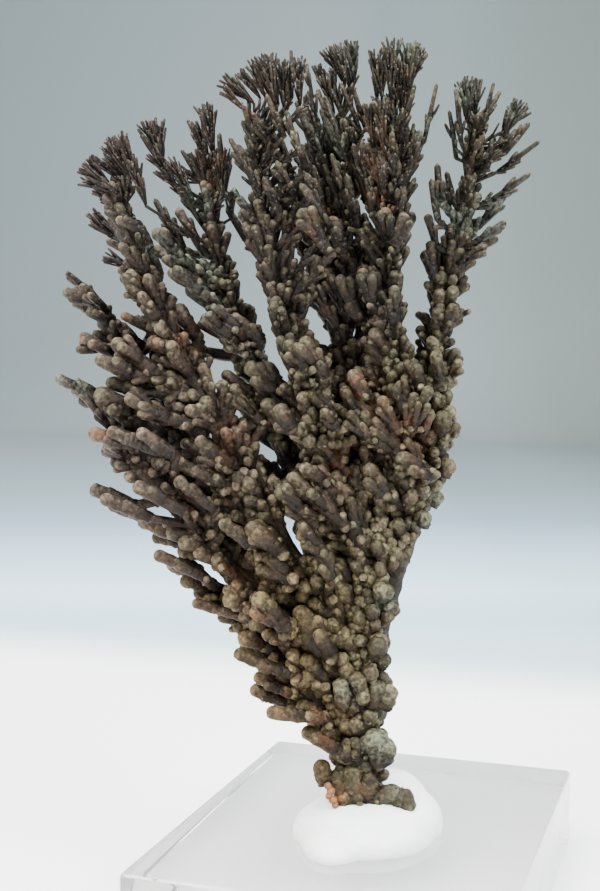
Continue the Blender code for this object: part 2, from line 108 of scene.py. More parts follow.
class Finish:
    """A material under construction: its shader, and the nodes that feed it."""

    def __init__(self, name):
        self.material = bpy.data.materials.new(name)
        self.material.use_nodes = True
        self.nodes = self.material.node_tree.nodes
        self.place = self.node("TexCoord", {})["Object"]

    def feed(self, socket, value):
        """Set a socket to a number or a colour, or link another node's output to it."""
        if isinstance(value, bpy.types.NodeSocket):
            self.material.node_tree.links.new(value, socket)
        elif isinstance(value, tuple):
            socket.default_value = (*value, 1.0)
        else:
            socket.default_value = value

    def node(self, kind, values, **settings):
        """The outputs of a new node, with its settings and what goes into its sockets."""
        node = self.nodes.new("ShaderNode" + kind)
        for setting, value in settings.items():
            setattr(node, setting, value)
        for socket, value in values.items():
            self.feed(node.inputs[socket], value)
        return node.outputs

    def axis(self, name):
        return self.node("SeparateXYZ", {0: self.place})[name]

    def reading(self, name):
        """A value that the mesh carries at each of its points."""
        return self.node("Attribute", {}, attribute_name=name)["Fac"]

    def noise(self, scale, detail):
        return self.node("TexNoise", {"Vector": self.place, "Scale": scale, "Detail": detail})["Fac"]

    def sums(self, kind, *values):
        return self.node("Math", dict(enumerate(values)), operation=kind)[0]

    def product(self, first, *others):
        for value in others:
            first = self.sums("MULTIPLY", first, value)
        return first

    def total(self, first, *others):
        for value in others:
            first = self.sums("ADD", first, value)
        return first

    def swing(self, value, reach):
        """How far a noise or tone is from its middle, times a reach."""
        return self.product(self.sums("SUBTRACT", value, 0.5), reach)

    def spread(self, value, low, high, to_low=0.0, to_high=1.0):
        """The value between low and high, carried over to another range."""
        ends = {"From Min": low, "From Max": high, "To Min": to_low, "To Max": to_high}
        return self.node("MapRange", {"Value": value, **ends})["Result"]

    def ramp(self, value, stops):
        """The colour for a value, from stops as (place, colour)."""
        ramp = self.nodes.new("ShaderNodeValToRGB")
        ramp.color_ramp.elements.remove(ramp.color_ramp.elements[1])
        first = ramp.color_ramp.elements[0]
        first.position, first.color = stops[0][0], (*stops[0][1], 1.0)
        for place, colour in stops[1:]:
            ramp.color_ramp.elements.new(place).color = (*colour, 1.0)
        self.feed(ramp.inputs["Fac"], value)
        return ramp.outputs["Color"]

    def mixed(self, share, first, second, blend="MIX"):
        sockets = {0: share, 6: first, 7: second}
        return self.node("Mix", sockets, data_type="RGBA", blend_type=blend)[2]

    def grey_of(self, value):
        return self.node("CombineColor", {0: value, 1: value, 2: value})[0]

    def relief(self, height, strength, distance):
        return self.node("Bump", {"Height": height, "Strength": strength, "Distance": distance})["Normal"]

    def shaded(self, values):
        """The finished material, once its shader has what goes into it."""
        for socket, value in values.items():
            self.feed(self.nodes["Principled BSDF"].inputs[socket], value)
        return self.material


def card_finish():
    card = Finish("pale_card")
    x = card.axis("X")
    y = card.axis("Y")
    away = card.sums("MULTIPLY_ADD", x, -CARD_SKEW, y)
    aside = card.sums("MULTIPLY_ADD", y, CARD_SKEW, x)
    shades = [(place / CARD_FAR, colour) for place, colour in CARD_GREY_AND_PAINTED_FALLOFF]
    # The card's grey away from the view, with its painted light falloff.
    backdrop = card.ramp(card.spread(away, 0.0, CARD_FAR), shades)
    # Painted shade aside, darker to the right.
    backdrop = card.mixed(1.0, backdrop, card.ramp(aside, CARD_PAINTED_SHADE_ASIDE), "MULTIPLY")
    return card.shaded({
        "Base Color": card.mixed(card.ramp(y, CARD_EDGE), backdrop, CARD_WHITE),
        "Roughness": CARD_ROUGHNESS,
        "Specular IOR Level": CARD_SHEEN,
    })


def extrude(run):
    bpy.ops.mesh.extrude_region_move(TRANSFORM_OT_translate={"value": run})


bpy.ops.mesh.primitive_plane_add(size=1.0)
card = bpy.context.object
card.name = "card_sweep"
bpy.ops.object.mode_set(mode="EDIT")
bpy.ops.transform.resize(value=(2 * SWEEP_HALF_WIDTH, SWEEP_FRONT + SWEEP_FLAT, 1.0))
bpy.ops.transform.translate(value=(0.0, (SWEEP_FLAT - SWEEP_FRONT) / 2, CARD_RISE))
bpy.ops.mesh.select_mode(type="EDGE")
bpy.ops.mesh.select_all(action="DESELECT")
bpy.ops.object.mode_set(mode="OBJECT")
for edge in card.data.edges:
    edge.select = all(card.data.vertices[i].co.y > 0.0 for i in edge.vertices)
bpy.ops.object.mode_set(mode="EDIT")
for step in range(SWEEP_STEPS):
    tilt = math.pi / 2 * (step + 0.5) / SWEEP_STEPS
    stride = SWEEP_BEND * math.pi / 2 / SWEEP_STEPS
    extrude(Vector((0.0, math.cos(tilt), math.sin(tilt))) * stride)
extrude((0.0, 0.0, SWEEP_HEIGHT))
bpy.ops.object.mode_set(mode="OBJECT")
bpy.ops.object.shade_smooth()
card.data.materials.append(card_finish())


# The studio light: a wide soft source above and to the left, a weaker one from the right, one
# straight above that brightens the slab, and an even pale surround.
SOFT_LIGHTS = [
    ("over_left", (-0.20, -0.26, 0.46), 0.34, 10.0, (1.0, 0.985, 0.96)),
    ("over_right", (0.34, -0.18, 0.36), 0.24, 6.0, (0.95, 0.98, 1.0)),
    ("above", (0.02, 0.06, 0.55), 0.40, 7.8, (1.0, 1.0, 1.0)),
]
AIM = Vector((0.0, 0.0, 0.05))
SURROUND = (0.86, 0.91, 0.95)
SURROUND_STRENGTH = 0.55

for name, place, width, power, tint in SOFT_LIGHTS:
    turn = (AIM - Vector(place)).to_track_quat("-Z", "Y").to_euler()
    bpy.ops.object.light_add(type="AREA", location=place, rotation=turn)
    light = bpy.context.object
    light.name = name
    light.data.size = width
    light.data.energy = power
    light.data.color = tint
surround = bpy.data.worlds.new("pale_surround")
surround.use_nodes = True
surround.node_tree.nodes["Background"].inputs["Color"].default_value = (*SURROUND, 1.0)
surround.node_tree.nodes["Background"].inputs["Strength"].default_value = SURROUND_STRENGTH
bpy.context.scene.world = surround


# The slab: a block of clear acrylic, polished clear on its top and underside. Its four sides
# are nearly as clear, and its small rounded arrises are a little hazy, so they catch the light.
SLAB = Vector((42.0, 51.0, 10.0)) * MM
SLAB_ARRIS = 0.6 * MM
ARRIS_STEPS = 3
SMOOTH_UNDER = math.radians(25.0)
ACRYLIC = (0.998, 1.0, 1.0)
ACRYLIC_IOR = 1.49
UPRIGHT_ROUGHNESS = [
    (0.10, (0.05, 0.05, 0.05)), (0.30, (0.12, 0.12, 0.12)), (0.90, (0.12, 0.12, 0.12)),
    (0.98, (0.015, 0.015, 0.015)),
]
HAZE_NOISE = (160.0, 3.0)
HAZE_SWING = (0.0, 1.0, 0.7, 1.3)


def acrylic_finish():
    acrylic = Finish("clear_acrylic")
    normal = acrylic.node("NewGeometry", {})["Normal"]
    upright = acrylic.sums("ABSOLUTE", acrylic.node("SeparateXYZ", {0: normal})["Z"])
    haze = acrylic.spread(acrylic.noise(*HAZE_NOISE), *HAZE_SWING)
    return acrylic.shaded({
        "Base Color": ACRYLIC,
        "Roughness": acrylic.product(acrylic.ramp(upright, UPRIGHT_ROUGHNESS), haze),
        "Transmission Weight": 1.0,
        "IOR": ACRYLIC_IOR,
    })


bpy.ops.object.select_all(action="DESELECT")
bpy.ops.mesh.primitive_cube_add(size=1.0)
slab = bpy.context.object
slab.name = "display_slab"
bpy.ops.object.mode_set(mode="EDIT")
bpy.ops.transform.resize(value=SLAB)
bpy.ops.transform.translate(value=(0.0, 0.0, SLAB.z / 2))
bpy.ops.mesh.bevel(offset=SLAB_ARRIS, segments=ARRIS_STEPS, affect="EDGES")
bpy.ops.object.mode_set(mode="OBJECT")
bpy.ops.object.shade_smooth_by_angle(angle=SMOOTH_UNDER)
slab.data.materials.append(acrylic_finish())
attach(slab, "root")
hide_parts("acrylic_base")


# The putty: a pad of white mounting putty, rolled soft, pressed down on the slab with the
# copper's foot pushed into it and thumbed up a little behind.
FAN_TURN = math.radians(18.7)
FAN_PLACE = Vector((1.7, -6.0, 2.7))
FAN_AXES = Matrix((
    (math.cos(FAN_TURN), math.sin(FAN_TURN), 0.0),
    (math.sin(FAN_TURN), -math.cos(FAN_TURN), 0.0),
    (0.0, 0.0, 1.0),
)).transposed()
PUTTY_LUMPS = [
    ((-0.6, 0.2, 8.0), (8.4, 7.8, 4.0)),
    ((2.9, -3.4, 9.0), (4.6, 4.2, 5.0)),
    ((5.4, -1.6, 8.4), (3.4, 4.6, 3.6)),
    ((-4.4, 4.2, 7.8), (3.6, 5.4, 2.6)),
]
LUMP_SEGMENTS = 32
LUMP_RINGS = 20
PUTTY_VOXEL = 0.35 * MM
PUTTY_SMOOTHING = 14
PUTTY_SHADES = [(0.35, (0.84, 0.86, 0.87)), (0.65, (0.93, 0.93, 0.92))]
PUTTY_NOISE = (300.0, 4.0)
PUTTY_ROUGHNESS = 0.5
DENT_STRENGTH = 0.35
DENT_DEPTH = 0.15 * MM
SKIN_GLOW = 0.5
SKIN_GLOW_DEPTH = 1.2 * MM


def fan_to_world(points):
    """Points in the fan's millimetres as an array in the world's metres."""
    turned = np.asarray(points, dtype=float) @ np.array(FAN_AXES).T
    return (turned + np.array(FAN_PLACE)) * MM


def putty_finish():
    putty = Finish("white_putty")
    mottle = putty.noise(*PUTTY_NOISE)
    return putty.shaded({
        "Base Color": putty.ramp(mottle, PUTTY_SHADES),
        "Normal": putty.relief(mottle, DENT_STRENGTH, DENT_DEPTH),
        "Roughness": PUTTY_ROUGHNESS,
        "Subsurface Weight": SKIN_GLOW,
        "Subsurface Scale": SKIN_GLOW_DEPTH,
    })


bpy.ops.object.select_all(action="DESELECT")
lumps = []
for centre, radii in PUTTY_LUMPS:
    bpy.ops.mesh.primitive_uv_sphere_add(segments=LUMP_SEGMENTS, ring_count=LUMP_RINGS, radius=1.0)
    lump = bpy.context.object
    lump.data.transform(Matrix.Translation(centre) @ Matrix.Diagonal((*radii, 1.0)))
    lumps.append(lump)
for lump in lumps:
    lump.select_set(True)
bpy.ops.object.join()
putty = bpy.context.object
putty.name = "putty_pad"
putty.data.transform(Matrix.Translation(FAN_PLACE * MM) @ FAN_AXES.to_4x4() @ Matrix.Scale(MM, 4))
fuse = putty.modifiers.new("pressed_together", "REMESH")
fuse.mode = "VOXEL"
fuse.voxel_size = PUTTY_VOXEL
fuse.use_smooth_shade = True
soften = putty.modifiers.new("thumbed_smooth", "SMOOTH")
soften.iterations = PUTTY_SMOOTHING
for modifier in ("pressed_together", "thumbed_smooth"):
    bpy.ops.object.modifier_apply(modifier=modifier)
bpy.ops.object.mode_set(mode="EDIT")
bpy.ops.mesh.select_all(action="SELECT")
bpy.ops.mesh.bisect(
    plane_co=(0.0, 0.0, SLAB.z), plane_no=(0.0, 0.0, 1.0), use_fill=True, clear_inner=True)
bpy.ops.object.mode_set(mode="OBJECT")
putty.data.materials.append(putty_finish())
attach(putty, "root")
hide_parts("putty_mound")


# The copper's skin: an aged crust, umber in the recesses and dusty olive or mauve on the heads;
# the dark deep in the recesses is partly the patina and partly painted shade. It is mossy and
# golden low down and darker in the middle of the crown, with rust, verdigris and bright metal in
# places, and painted glints high in the crown. A range reads low and high, then what each of them gives.
GRAIN_NOISE = (2300.0, 4.0)
BLOTCH_NOISE = (420.0, 3.0)
DRIFT_NOISE = (70.0, 2.0)
GLINT_NOISE = (3100.0, 3.0)
# From recess to head: the crust's own umber to olive, darkened deep in the recesses as painted shade.
OLIVE_CRUST_AND_SHADE = [
    (0.05, (0.0058, 0.0033, 0.0016)), (0.45, (0.0190, 0.0126, 0.0060)),
    (0.80, (0.0395, 0.0325, 0.0168)), (1.0, (0.0775, 0.0685, 0.0380)),
]
# The same from recess to head in mauve, with the same painted shade deep down.
MAUVE_CRUST_AND_SHADE = [
    (0.05, (0.0058, 0.0031, 0.0020)), (0.45, (0.0195, 0.0116, 0.0084)),
    (0.80, (0.0390, 0.0272, 0.0195)), (1.0, (0.0750, 0.0575, 0.0385)),
]
BLOTCH_ON_HEADS = 0.8
MAUVE_LEFTWARD = (0.004, -0.020, 0.0, 0.75)
MAUVE_BY_DRIFT = 2.4
MAUVE_BY_TONE = 0.7
MOSS = (0.080, 0.086, 0.058)
MOSS_LOW = (0.034, 0.018, 0.0, 0.5)
MOSS_HEADS = (0.3, 1.0)
MOSS_PATCHES = (0.38, 0.62)
RUST = (0.050, 0.021, 0.010)
RUST_PATCHES = (0.42, 0.60, 0.0, 0.6)
TONE_SHADES = (0.0, 1.0, 0.55, 1.40)
MIDDLE_FROM = (0.060, 0.070)
MIDDLE_UP_TO = (0.092, 0.083)
MIDDLE_ASIDE = (-0.016, -0.006)
MIDDLE_SHADES = (0.0, 1.0, 1.0, 0.68)
GOLDEN = (1.16, 1.0, 0.72)
GOLDEN_LOW = (0.054, 0.034)
GOLDEN_LEFT = (0.004, -0.004)
GRAIN_SHADES = (0.32, 0.68, 0.30, 1.75)
VERDIGRIS = (0.100, 0.142, 0.106)
VERDIGRIS_GRAINS = (0.42, 0.62, 0.0, 0.5)
VERDIGRIS_HEADS = (0.1, 0.8, 0.25, 1.0)
BARE_METAL = (0.27, 0.105, 0.040)
BARE_PATCHES = (0.42, 0.60, 0.0, 0.8)
BARE_LOW = (0.020, 0.030, 1.0, 0.4)
BARE_HEADS = (0.35, 0.9)
DUST = (0.17, 0.15, 0.105)
DUST_GRAINS = (0.60, 0.72, 0.0, 0.5)
CROWN_TINT = (0.78, 0.82, 0.80)
CROWN_FROM = (0.064, 0.084)
# Painted glints: small white specks high in the crown, painted highlights.
PAINTED_GLINT = (0.20, 0.20, 0.165)
GLINT_GRAINS = (0.61, 0.70)
GLINT_FROM = (0.070, 0.090, 0.06, 0.45)
CRUST_ROUGHNESS = (0.3, 0.7, 0.40, 0.75)
CRUST_SHEEN = 0.14
RING_PHASE_PER_MM = 7.5
RINGS_WANDER = 9.0
GRAIN_RELIEF = 1.3
RING_RELIEF = 0.12
BLOTCH_RELIEF = 0.8
CRUST_RELIEF = 0.9
CRUST_DEPTH = 0.14 * MM


def crust_finish():
    crust = Finish("aged_copper")
    x = crust.axis("X")
    z = crust.axis("Z")
    grain = crust.noise(*GRAIN_NOISE)
    blotch = crust.noise(*BLOTCH_NOISE)
    drift = crust.noise(*DRIFT_NOISE)
    tip = crust.reading("tip")
    tone = crust.reading("tone")

    # How far out of the recesses a point stands: low values are painted darker, partly patina and partly
    # painted shade.
    height = crust.total(tip, crust.swing(blotch, BLOTCH_ON_HEADS))
    mauve = crust.total(crust.spread(x, *MAUVE_LEFTWARD), crust.swing(drift, MAUVE_BY_DRIFT),
                        crust.swing(tone, MAUVE_BY_TONE))
    skin = crust.mixed(crust.spread(mauve, 0.0, 1.0), crust.ramp(height, OLIVE_CRUST_AND_SHADE),
                       crust.ramp(height, MAUVE_CRUST_AND_SHADE))
    moss = crust.product(
        crust.sums("MAXIMUM", crust.reading("green"), crust.spread(z, *MOSS_LOW)),
        crust.spread(tip, *MOSS_HEADS), crust.spread(blotch, *MOSS_PATCHES))
    rust = crust.product(crust.reading("rust"), crust.spread(blotch, *RUST_PATCHES))
    tones = crust.grey_of(crust.spread(tone, *TONE_SHADES))
    middle = crust.product(crust.spread(z, *MIDDLE_FROM), crust.spread(z, *MIDDLE_UP_TO),
                           crust.spread(x, *MIDDLE_ASIDE))
    middle = crust.grey_of(crust.spread(middle, *MIDDLE_SHADES))
    golden = crust.product(crust.spread(z, *GOLDEN_LOW), crust.spread(x, *GOLDEN_LEFT))
    grains = crust.grey_of(crust.spread(grain, *GRAIN_SHADES))
    verdigris = crust.product(crust.reading("verdigris"), crust.spread(grain, *VERDIGRIS_GRAINS),
                              crust.spread(tip, *VERDIGRIS_HEADS))
    rubbed = crust.product(crust.reading("bare"), crust.spread(blotch, *BARE_PATCHES),
                           crust.spread(z, *BARE_LOW), crust.spread(tip, *BARE_HEADS))
    dust = crust.product(crust.spread(grain, *DUST_GRAINS), tip)
    crown = crust.spread(z, *CROWN_FROM)
    # Painted highlights: white specks high in the crown stand in for glints of light.
    painted_glints = crust.product(crust.spread(crust.noise(*GLINT_NOISE), *GLINT_GRAINS),
                          crust.spread(z, *GLINT_FROM))
    for share, colour, blend in (
        (moss, MOSS, "MIX"), (rust, RUST, "MIX"), (1.0, tones, "MULTIPLY"),
        (1.0, middle, "MULTIPLY"), (golden, GOLDEN, "MULTIPLY"), (1.0, grains, "MULTIPLY"),
        (verdigris, VERDIGRIS, "MIX"), (rubbed, BARE_METAL, "MIX"), (dust, DUST, "MIX"),
        (crown, CROWN_TINT, "MULTIPLY"), (painted_glints, PAINTED_GLINT, "MIX"),
    ):
        skin = crust.mixed(share, skin, colour, blend)

    rings = crust.total(crust.product(crust.reading("along"), RING_PHASE_PER_MM),
                        crust.product(blotch, RINGS_WANDER))
    relief = crust.total(
        crust.product(grain, GRAIN_RELIEF),
        crust.product(crust.sums("SINE", rings), RING_RELIEF),
        crust.product(blotch, BLOTCH_RELIEF))
    return crust.shaded({
        "Base Color": skin,
        "Roughness": crust.spread(grain, *CRUST_ROUGHNESS),
        "Specular IOR Level": CRUST_SHEEN,
        "Normal": crust.relief(relief, CRUST_RELIEF, CRUST_DEPTH),
    })


crust = crust_finish()


# One finger, one needle, one stout banded finger and one bead of copper, each modelled once. A
# shaft runs from 0 to 1 in z and its round head from 1 to 2. All are copied many times.
FINGER_SIDES = 8
SHAFT_RINGS = 4
HEAD_RINGS = ((0.5, 0.866), (0.866, 0.5))
NEEDLE_SIDES = 6
NEEDLE_RINGS = [(0.5, 1.0), (1.0, 0.8), (1.5, 0.45)]
STOUT_SIDES = 12
STOUT_RINGS = 8
STOUT_NECK = 0.90
STOUT_DOME = (22.5, 45.0, 67.5)
HEAD_TOP = 2.0
BEAD_ROUNDNESS = 2


def template_of(blank):
    """The blank's vertices and faces, turned over because the fan's frame is left-handed."""
    corners = np.array([vertex.co[:] for vertex in blank.data.vertices])
    faces = [tuple(reversed(face.vertices)) for face in blank.data.polygons]
    bpy.data.objects.remove(blank)
    return corners, faces


def turned_blank(sides, rings):
    """A closed, round-headed bar: rings as (height, radius), then its crown as one point."""
    bpy.ops.object.select_all(action="DESELECT")
    bpy.ops.mesh.primitive_circle_add(vertices=sides, radius=1.0, fill_type="NGON")
    blank = bpy.context.object
    bpy.ops.object.mode_set(mode="EDIT")
    bpy.ops.mesh.flip_normals()
    before = (0.0, 1.0)
    for ring in rings:
        extrude((0.0, 0.0, ring[0] - before[0]))
        scale = ring[1] / before[1]
        bpy.ops.transform.resize(value=(scale, scale, 1.0))
        before = ring
    extrude((0.0, 0.0, HEAD_TOP - before[0]))
    bpy.ops.mesh.merge(type="CENTER")
    bpy.ops.mesh.select_all(action="SELECT")
    bpy.ops.mesh.normals_make_consistent(inside=False)
    bpy.ops.object.mode_set(mode="OBJECT")
    return blank


shaft = [((ring + 1) / SHAFT_RINGS, 1.0) for ring in range(SHAFT_RINGS)]
head = [(1.0 + up, out) for up, out in HEAD_RINGS]
bands = [((ring + 1) / STOUT_RINGS, 1.0 if ring % 2 else STOUT_NECK) for ring in range(STOUT_RINGS)]
dome = [(1.0 + math.sin(math.radians(up)), math.cos(math.radians(up))) for up in STOUT_DOME]
FINGER = template_of(turned_blank(FINGER_SIDES, shaft + head))
NEEDLE = template_of(turned_blank(NEEDLE_SIDES, NEEDLE_RINGS))
STOUT = template_of(turned_blank(STOUT_SIDES, bands + dome))
bpy.ops.mesh.primitive_ico_sphere_add(subdivisions=BEAD_ROUNDNESS, radius=1.0)
BEAD = template_of(bpy.context.object)


class Growth:
    """All that has grown on one piece of copper, gathered before it is made a mesh.

    A level is how far out of the recesses the root and the head stand, from 0 to 1. It sets how dark the
    crust is painted there, partly as patina and partly as painted shade.
    """

    def __init__(self, seed):
        self.draw = random.Random(seed)
        self.fingers = []
        self.needles = []
        self.stouts = []
        self.beads = []

    def finger(self, *run, **marks):
        self.add(self.fingers, *run, **marks)

    def needle(self, *run, **marks):
        self.add(self.needles, *run, **marks)

    def stout(self, *run, **marks):
        self.add(self.stouts, *run, **marks)

    def bead(self, centre, radius, level):
        self.add(self.beads, centre, centre + Vector((0.0, 0.0, radius)), radius, level)

    def slim(self, place):
        """What grows at a place: pointed needles high up, round-headed fingers below."""
        return self.needle if place.z > POINTED_FROM else self.finger

    def add(self, group, root, end, radius, level, bow=0.0, tone=None, green=0.0):
        across = Vector([self.draw.uniform(-1.0, 1.0) for _ in range(3)])
        bend = (root + end) / 2 + across * bow * (end - root).length
        drawn = self.draw.random()
        group.append([*root, *bend, *end, radius, *level, drawn if tone is None else tone, green])


# The columns of a plan, as Growth.add fills them.
RUN_COLUMNS = (0, 3, 6)
SIZE_COLUMNS = (9, 10, 11)
MARK_COLUMNS = slice(12, 14)
RING_BULGE = (0.92, 1.10)
SKIN_UNEVEN = (0.95, 1.05)
BEAD_UNEVEN = (0.94, 1.06)
ROOT_NECK = 0.90
ASKEW = (0.31, 0.17, -0.93)
# How the colour lightens from a shaft's root to its head: partly patina, partly painted shade.
SHAFT_LIGHTENS = (1.6, 0.7)
HEAD_LIGHTENS = 0.4
NO_LENGTH = 1e-9

# Where the skin differs, as the viewpoint sees it in its frame, (x, y, radius): rubbed heads,
# rust-red hollows and verdigris.
STAINS = {
    "bare": [(183, 331, 8), (150, 343, 7), (121, 315, 5), (88, 432, 6), (108, 430, 6), (331, 211, 6),
        (385, 207, 6), (212, 178, 7), (202, 284, 6), (528, 174, 6), (510, 184, 8), (331, 795, 9),
        (349, 262, 6), (360, 265, 5), (80, 340, 4)],
    "rust": [(368, 150, 14), (372, 190, 12), (415, 432, 14), (345, 465, 16), (250, 102, 12),
        (215, 170, 12), (300, 235, 12), (200, 345, 14), (230, 440, 14), (330, 330, 16), (380, 400, 16),
        (355, 380, 12), (322, 770, 9), (331, 720, 14), (369, 785, 9), (344, 716, 8), (250, 615, 9),
        (280, 690, 8), (235, 575, 8)],
    "verdigris": [(409, 45, 9), (413, 58, 6), (352, 48, 8), (345, 42, 6), (497, 205, 12), (485, 222, 10),
        (448, 207, 9), (462, 222, 8), (208, 270, 8), (158, 250, 8), (190, 258, 10), (236, 200, 7),
        (226, 190, 9), (436, 499, 8), (428, 525, 8), (57, 379, 9), (80, 384, 8), (203, 300, 12),
        (424, 137, 5), (445, 145, 8), (512, 108, 9), (469, 95, 10), (196, 195, 12), (330, 130, 14),
        (381, 742, 12), (345, 690, 10), (385, 600, 8)],
}
STAIN_DEPTH = 2.0
STAIN_FADE = 2.0
FRAME_UNIT = 0.1155
MIDDLE_X = FRAME_SIZE[0] / 2
MIDDLE_Y = FRAME_SIZE[1] / 2
SLOPE = LENS / SENSOR * max(FRAME_SIZE)
UPWARD = RIGHTWARD.cross(SIGHT)
TOWARDS_EYE = FAN_AXES.col[1]


def sighted(x, y, depth):
    """The fan's point, at this depth towards the viewer, that is seen at (x, y) in the frame."""
    sight = SIGHT + RIGHTWARD * ((x - MIDDLE_X) / SLOPE) + UPWARD * ((MIDDLE_Y - y) / SLOPE)
    start = EYE / MM - FAN_PLACE
    reach = (depth - start.dot(TOWARDS_EYE)) / sight.dot(TOWARDS_EYE)
    return FAN_AXES.transposed() @ (start + sight * reach)


def seen(point):
    """Where in the frame a point of the fan is seen."""
    sight = FAN_AXES @ point + FAN_PLACE - EYE / MM
    away = sight.dot(SIGHT) / SLOPE
    return MIDDLE_X + sight.dot(RIGHTWARD) / away, MIDDLE_Y - sight.dot(UPWARD) / away


def unit(rows):
    return rows / np.maximum(np.linalg.norm(rows, axis=-1, keepdims=True), NO_LENGTH)


def grown_points(corners, plans, noise):
    """Every copy of a finger or needle, bent along its own curve, and its marks."""
    root, bend, end = (plans[:, None, i:i + 3] for i in RUN_COLUMNS)
    radius, low, high = (plans[:, i, None] for i in SIZE_COLUMNS)
    t = np.clip(corners[None, :, 2], 0.0, 1.0)
    crown = np.clip(corners[None, :, 2] - 1.0, 0.0, 1.0)
    s = t[..., None]
    run = (1 - s) ** 2 * root + 2 * s * (1 - s) * bend + s ** 2 * end
    heading = unit((1 - s) * (bend - root) + s * (end - bend))
    side = unit(np.cross(heading, np.array(ASKEW)))
    front = np.cross(heading, side)
    ring = np.unique(corners[:, 2].round(3), return_inverse=True)[1]
    bulge = noise.uniform(*RING_BULGE, (len(plans), ring.max() + 1))[:, ring]
    width = radius * bulge * noise.uniform(*SKIN_UNEVEN, (len(plans), len(corners)))
    width = width * (ROOT_NECK + (1.0 - ROOT_NECK) * t)
    x, y = corners[None, :, 0], corners[None, :, 1]
    points = run + (side * x[..., None] + front * y[..., None]) * width[..., None]
    points = points + heading * (crown * radius)[..., None]
    length = np.linalg.norm(end - root, axis=-1)
    # The crust lightens from root to head: partly patina, partly painted shade in the recesses.
    lightened = t ** SHAFT_LIGHTENS[0] * SHAFT_LIGHTENS[1] + crown * HEAD_LIGHTENS
    tip = low + (high - low) * np.clip(lightened, 0.0, 1.0)
    return points, tip, t * length + crown * radius


def bead_points(corners, plans, noise):
    """Every copy of a bead, and its marks."""
    centre = plans[:, None, 0:3]
    radius, low, high = (plans[:, i, None] for i in SIZE_COLUMNS)
    width = radius * noise.uniform(*BEAD_UNEVEN, (len(plans), len(corners)))
    points = centre + corners[None] * width[..., None]
    # A bead is painted lighter on top and darker underneath, as painted shade.
    tip = low + (high - low) * np.clip(0.5 + 0.5 * corners[None, :, 2], 0.0, 1.0)
    return points, tip, (1.0 + corners[None, :, 2]) * radius


def near(spots, stain):
    """How strongly a stain shows at each spot: full within its radius, then fading."""
    centre = sighted(stain[0], stain[1], STAIN_DEPTH)
    away = np.hypot(spots[:, 0] - centre.x, spots[:, 1] - centre.z)
    return np.clip(STAIN_FADE - away / (stain[2] * FRAME_UNIT), 0.0, 1.0)


def copper_piece(growth, node):
    """The growth as one joined mesh in place, with its marks as attributes."""
    noise = np.random.default_rng(len(growth.fingers))
    points, faces, marks = [], [], []
    count = 0
    groups = ((FINGER, growth.fingers, grown_points), (NEEDLE, growth.needles, grown_points),
              (STOUT, growth.stouts, grown_points), (BEAD, growth.beads, bead_points))
    for (corners, sides), plans, place in groups:
        if not plans:
            continue
        plans = np.array(plans)
        shaped, tip, along = place(corners, plans, noise)
        given = np.repeat(plans[:, None, MARK_COLUMNS], len(corners), axis=1)
        marks.append(np.concatenate([tip[..., None], along[..., None], given], axis=-1).reshape(-1, 4))
        points.append(shaped.reshape(-1, 3))
        for _ in plans:
            faces.extend(tuple(count + corner for corner in face) for face in sides)
            count += len(corners)
    points = np.concatenate(points)
    mesh = bpy.data.meshes.new("copper_" + node)
    mesh.from_pydata(fan_to_world(points), [], faces)
    looks = dict(zip(("tip", "along", "tone", "green"), np.concatenate(marks).T))
    for mark, places in STAINS.items():
        looks[mark] = np.max([near(points[:, (0, 2)], stain) for stain in places], axis=0)
    for mark, levels in looks.items():
        layer = mesh.attributes.new(mark, "FLOAT", "POINT")
        layer.data.foreach_set("value", levels.astype(np.float32))
    mesh.shade_smooth()
    mesh.materials.append(crust)
    piece = bpy.data.objects.new("copper_" + node, mesh)
    bpy.context.scene.collection.objects.link(piece)
    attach(piece, "root")
    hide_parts(node)


# The trunk: the one stout stem that all the branches leave. It is knobbly all round, with tall
# banded knobs low down, and lumps and a few bare beads at its foot, in the putty. Knobs at an
# edge are (x, y, radius) in the frame and tall ones are (tip x, tip y, root x, root y, radius).
TRUNK_STEM = [
    (-0.8, 0.0, 11.2), (-0.9, 0.0, 15.0), (-1.0, 0.0, 19.0), (-0.9, 0.0, 24.0), (-0.3, 0.0, 29.0),
    (0.9, 0.0, 34.0), (2.8, 0.0, 40.0), (5.0, 0.0, 46.0), (7.3, 0.0, 53.5),
]
TRUNK_THICKNESS = (2.3, 1.5)
TRUNK_SEED = 3
EDGE_KNOBS = [
    (447, 468, 1.0), (430, 475, 0.9), (412, 470, 0.8), (405, 482, 0.8), (425, 490, 0.8),
    (436, 499, 0.85), (425, 520, 0.8), (412, 526, 0.7), (399, 526, 0.9), (388, 535, 0.7),
    (402, 542, 0.85), (377, 548, 0.8), (400, 560, 1.15), (383, 562, 0.8), (360, 560, 0.7),
    (365, 575, 0.7), (380, 590, 0.9), (368, 594, 0.8), (390, 607, 0.95), (372, 612, 0.8),
    (375, 625, 1.1), (378, 650, 1.1), (383, 661, 0.9), (380, 690, 1.05), (388, 702, 0.85),
    (366, 722, 0.9), (352, 712, 0.9), (345, 752, 0.9), (358, 709, 1.0), (355, 726, 0.9),
    (366, 768, 0.75), (353, 769, 0.8), (377, 648, 1.15), (372, 624, 1.25), (389, 609, 0.95),
    (381, 592, 0.95), (338, 757, 1.0), (442, 422, 1.15),
]
TALL_KNOBS = [
    (376, 741, 383, 764, 1.55), (384, 749, 380, 760, 1.45), (341, 686, 343, 708, 1.0),
    (378, 690, 374, 708, 1.1), (389, 694, 380, 706, 1.1), (355, 744, 356, 758, 0.85),
]
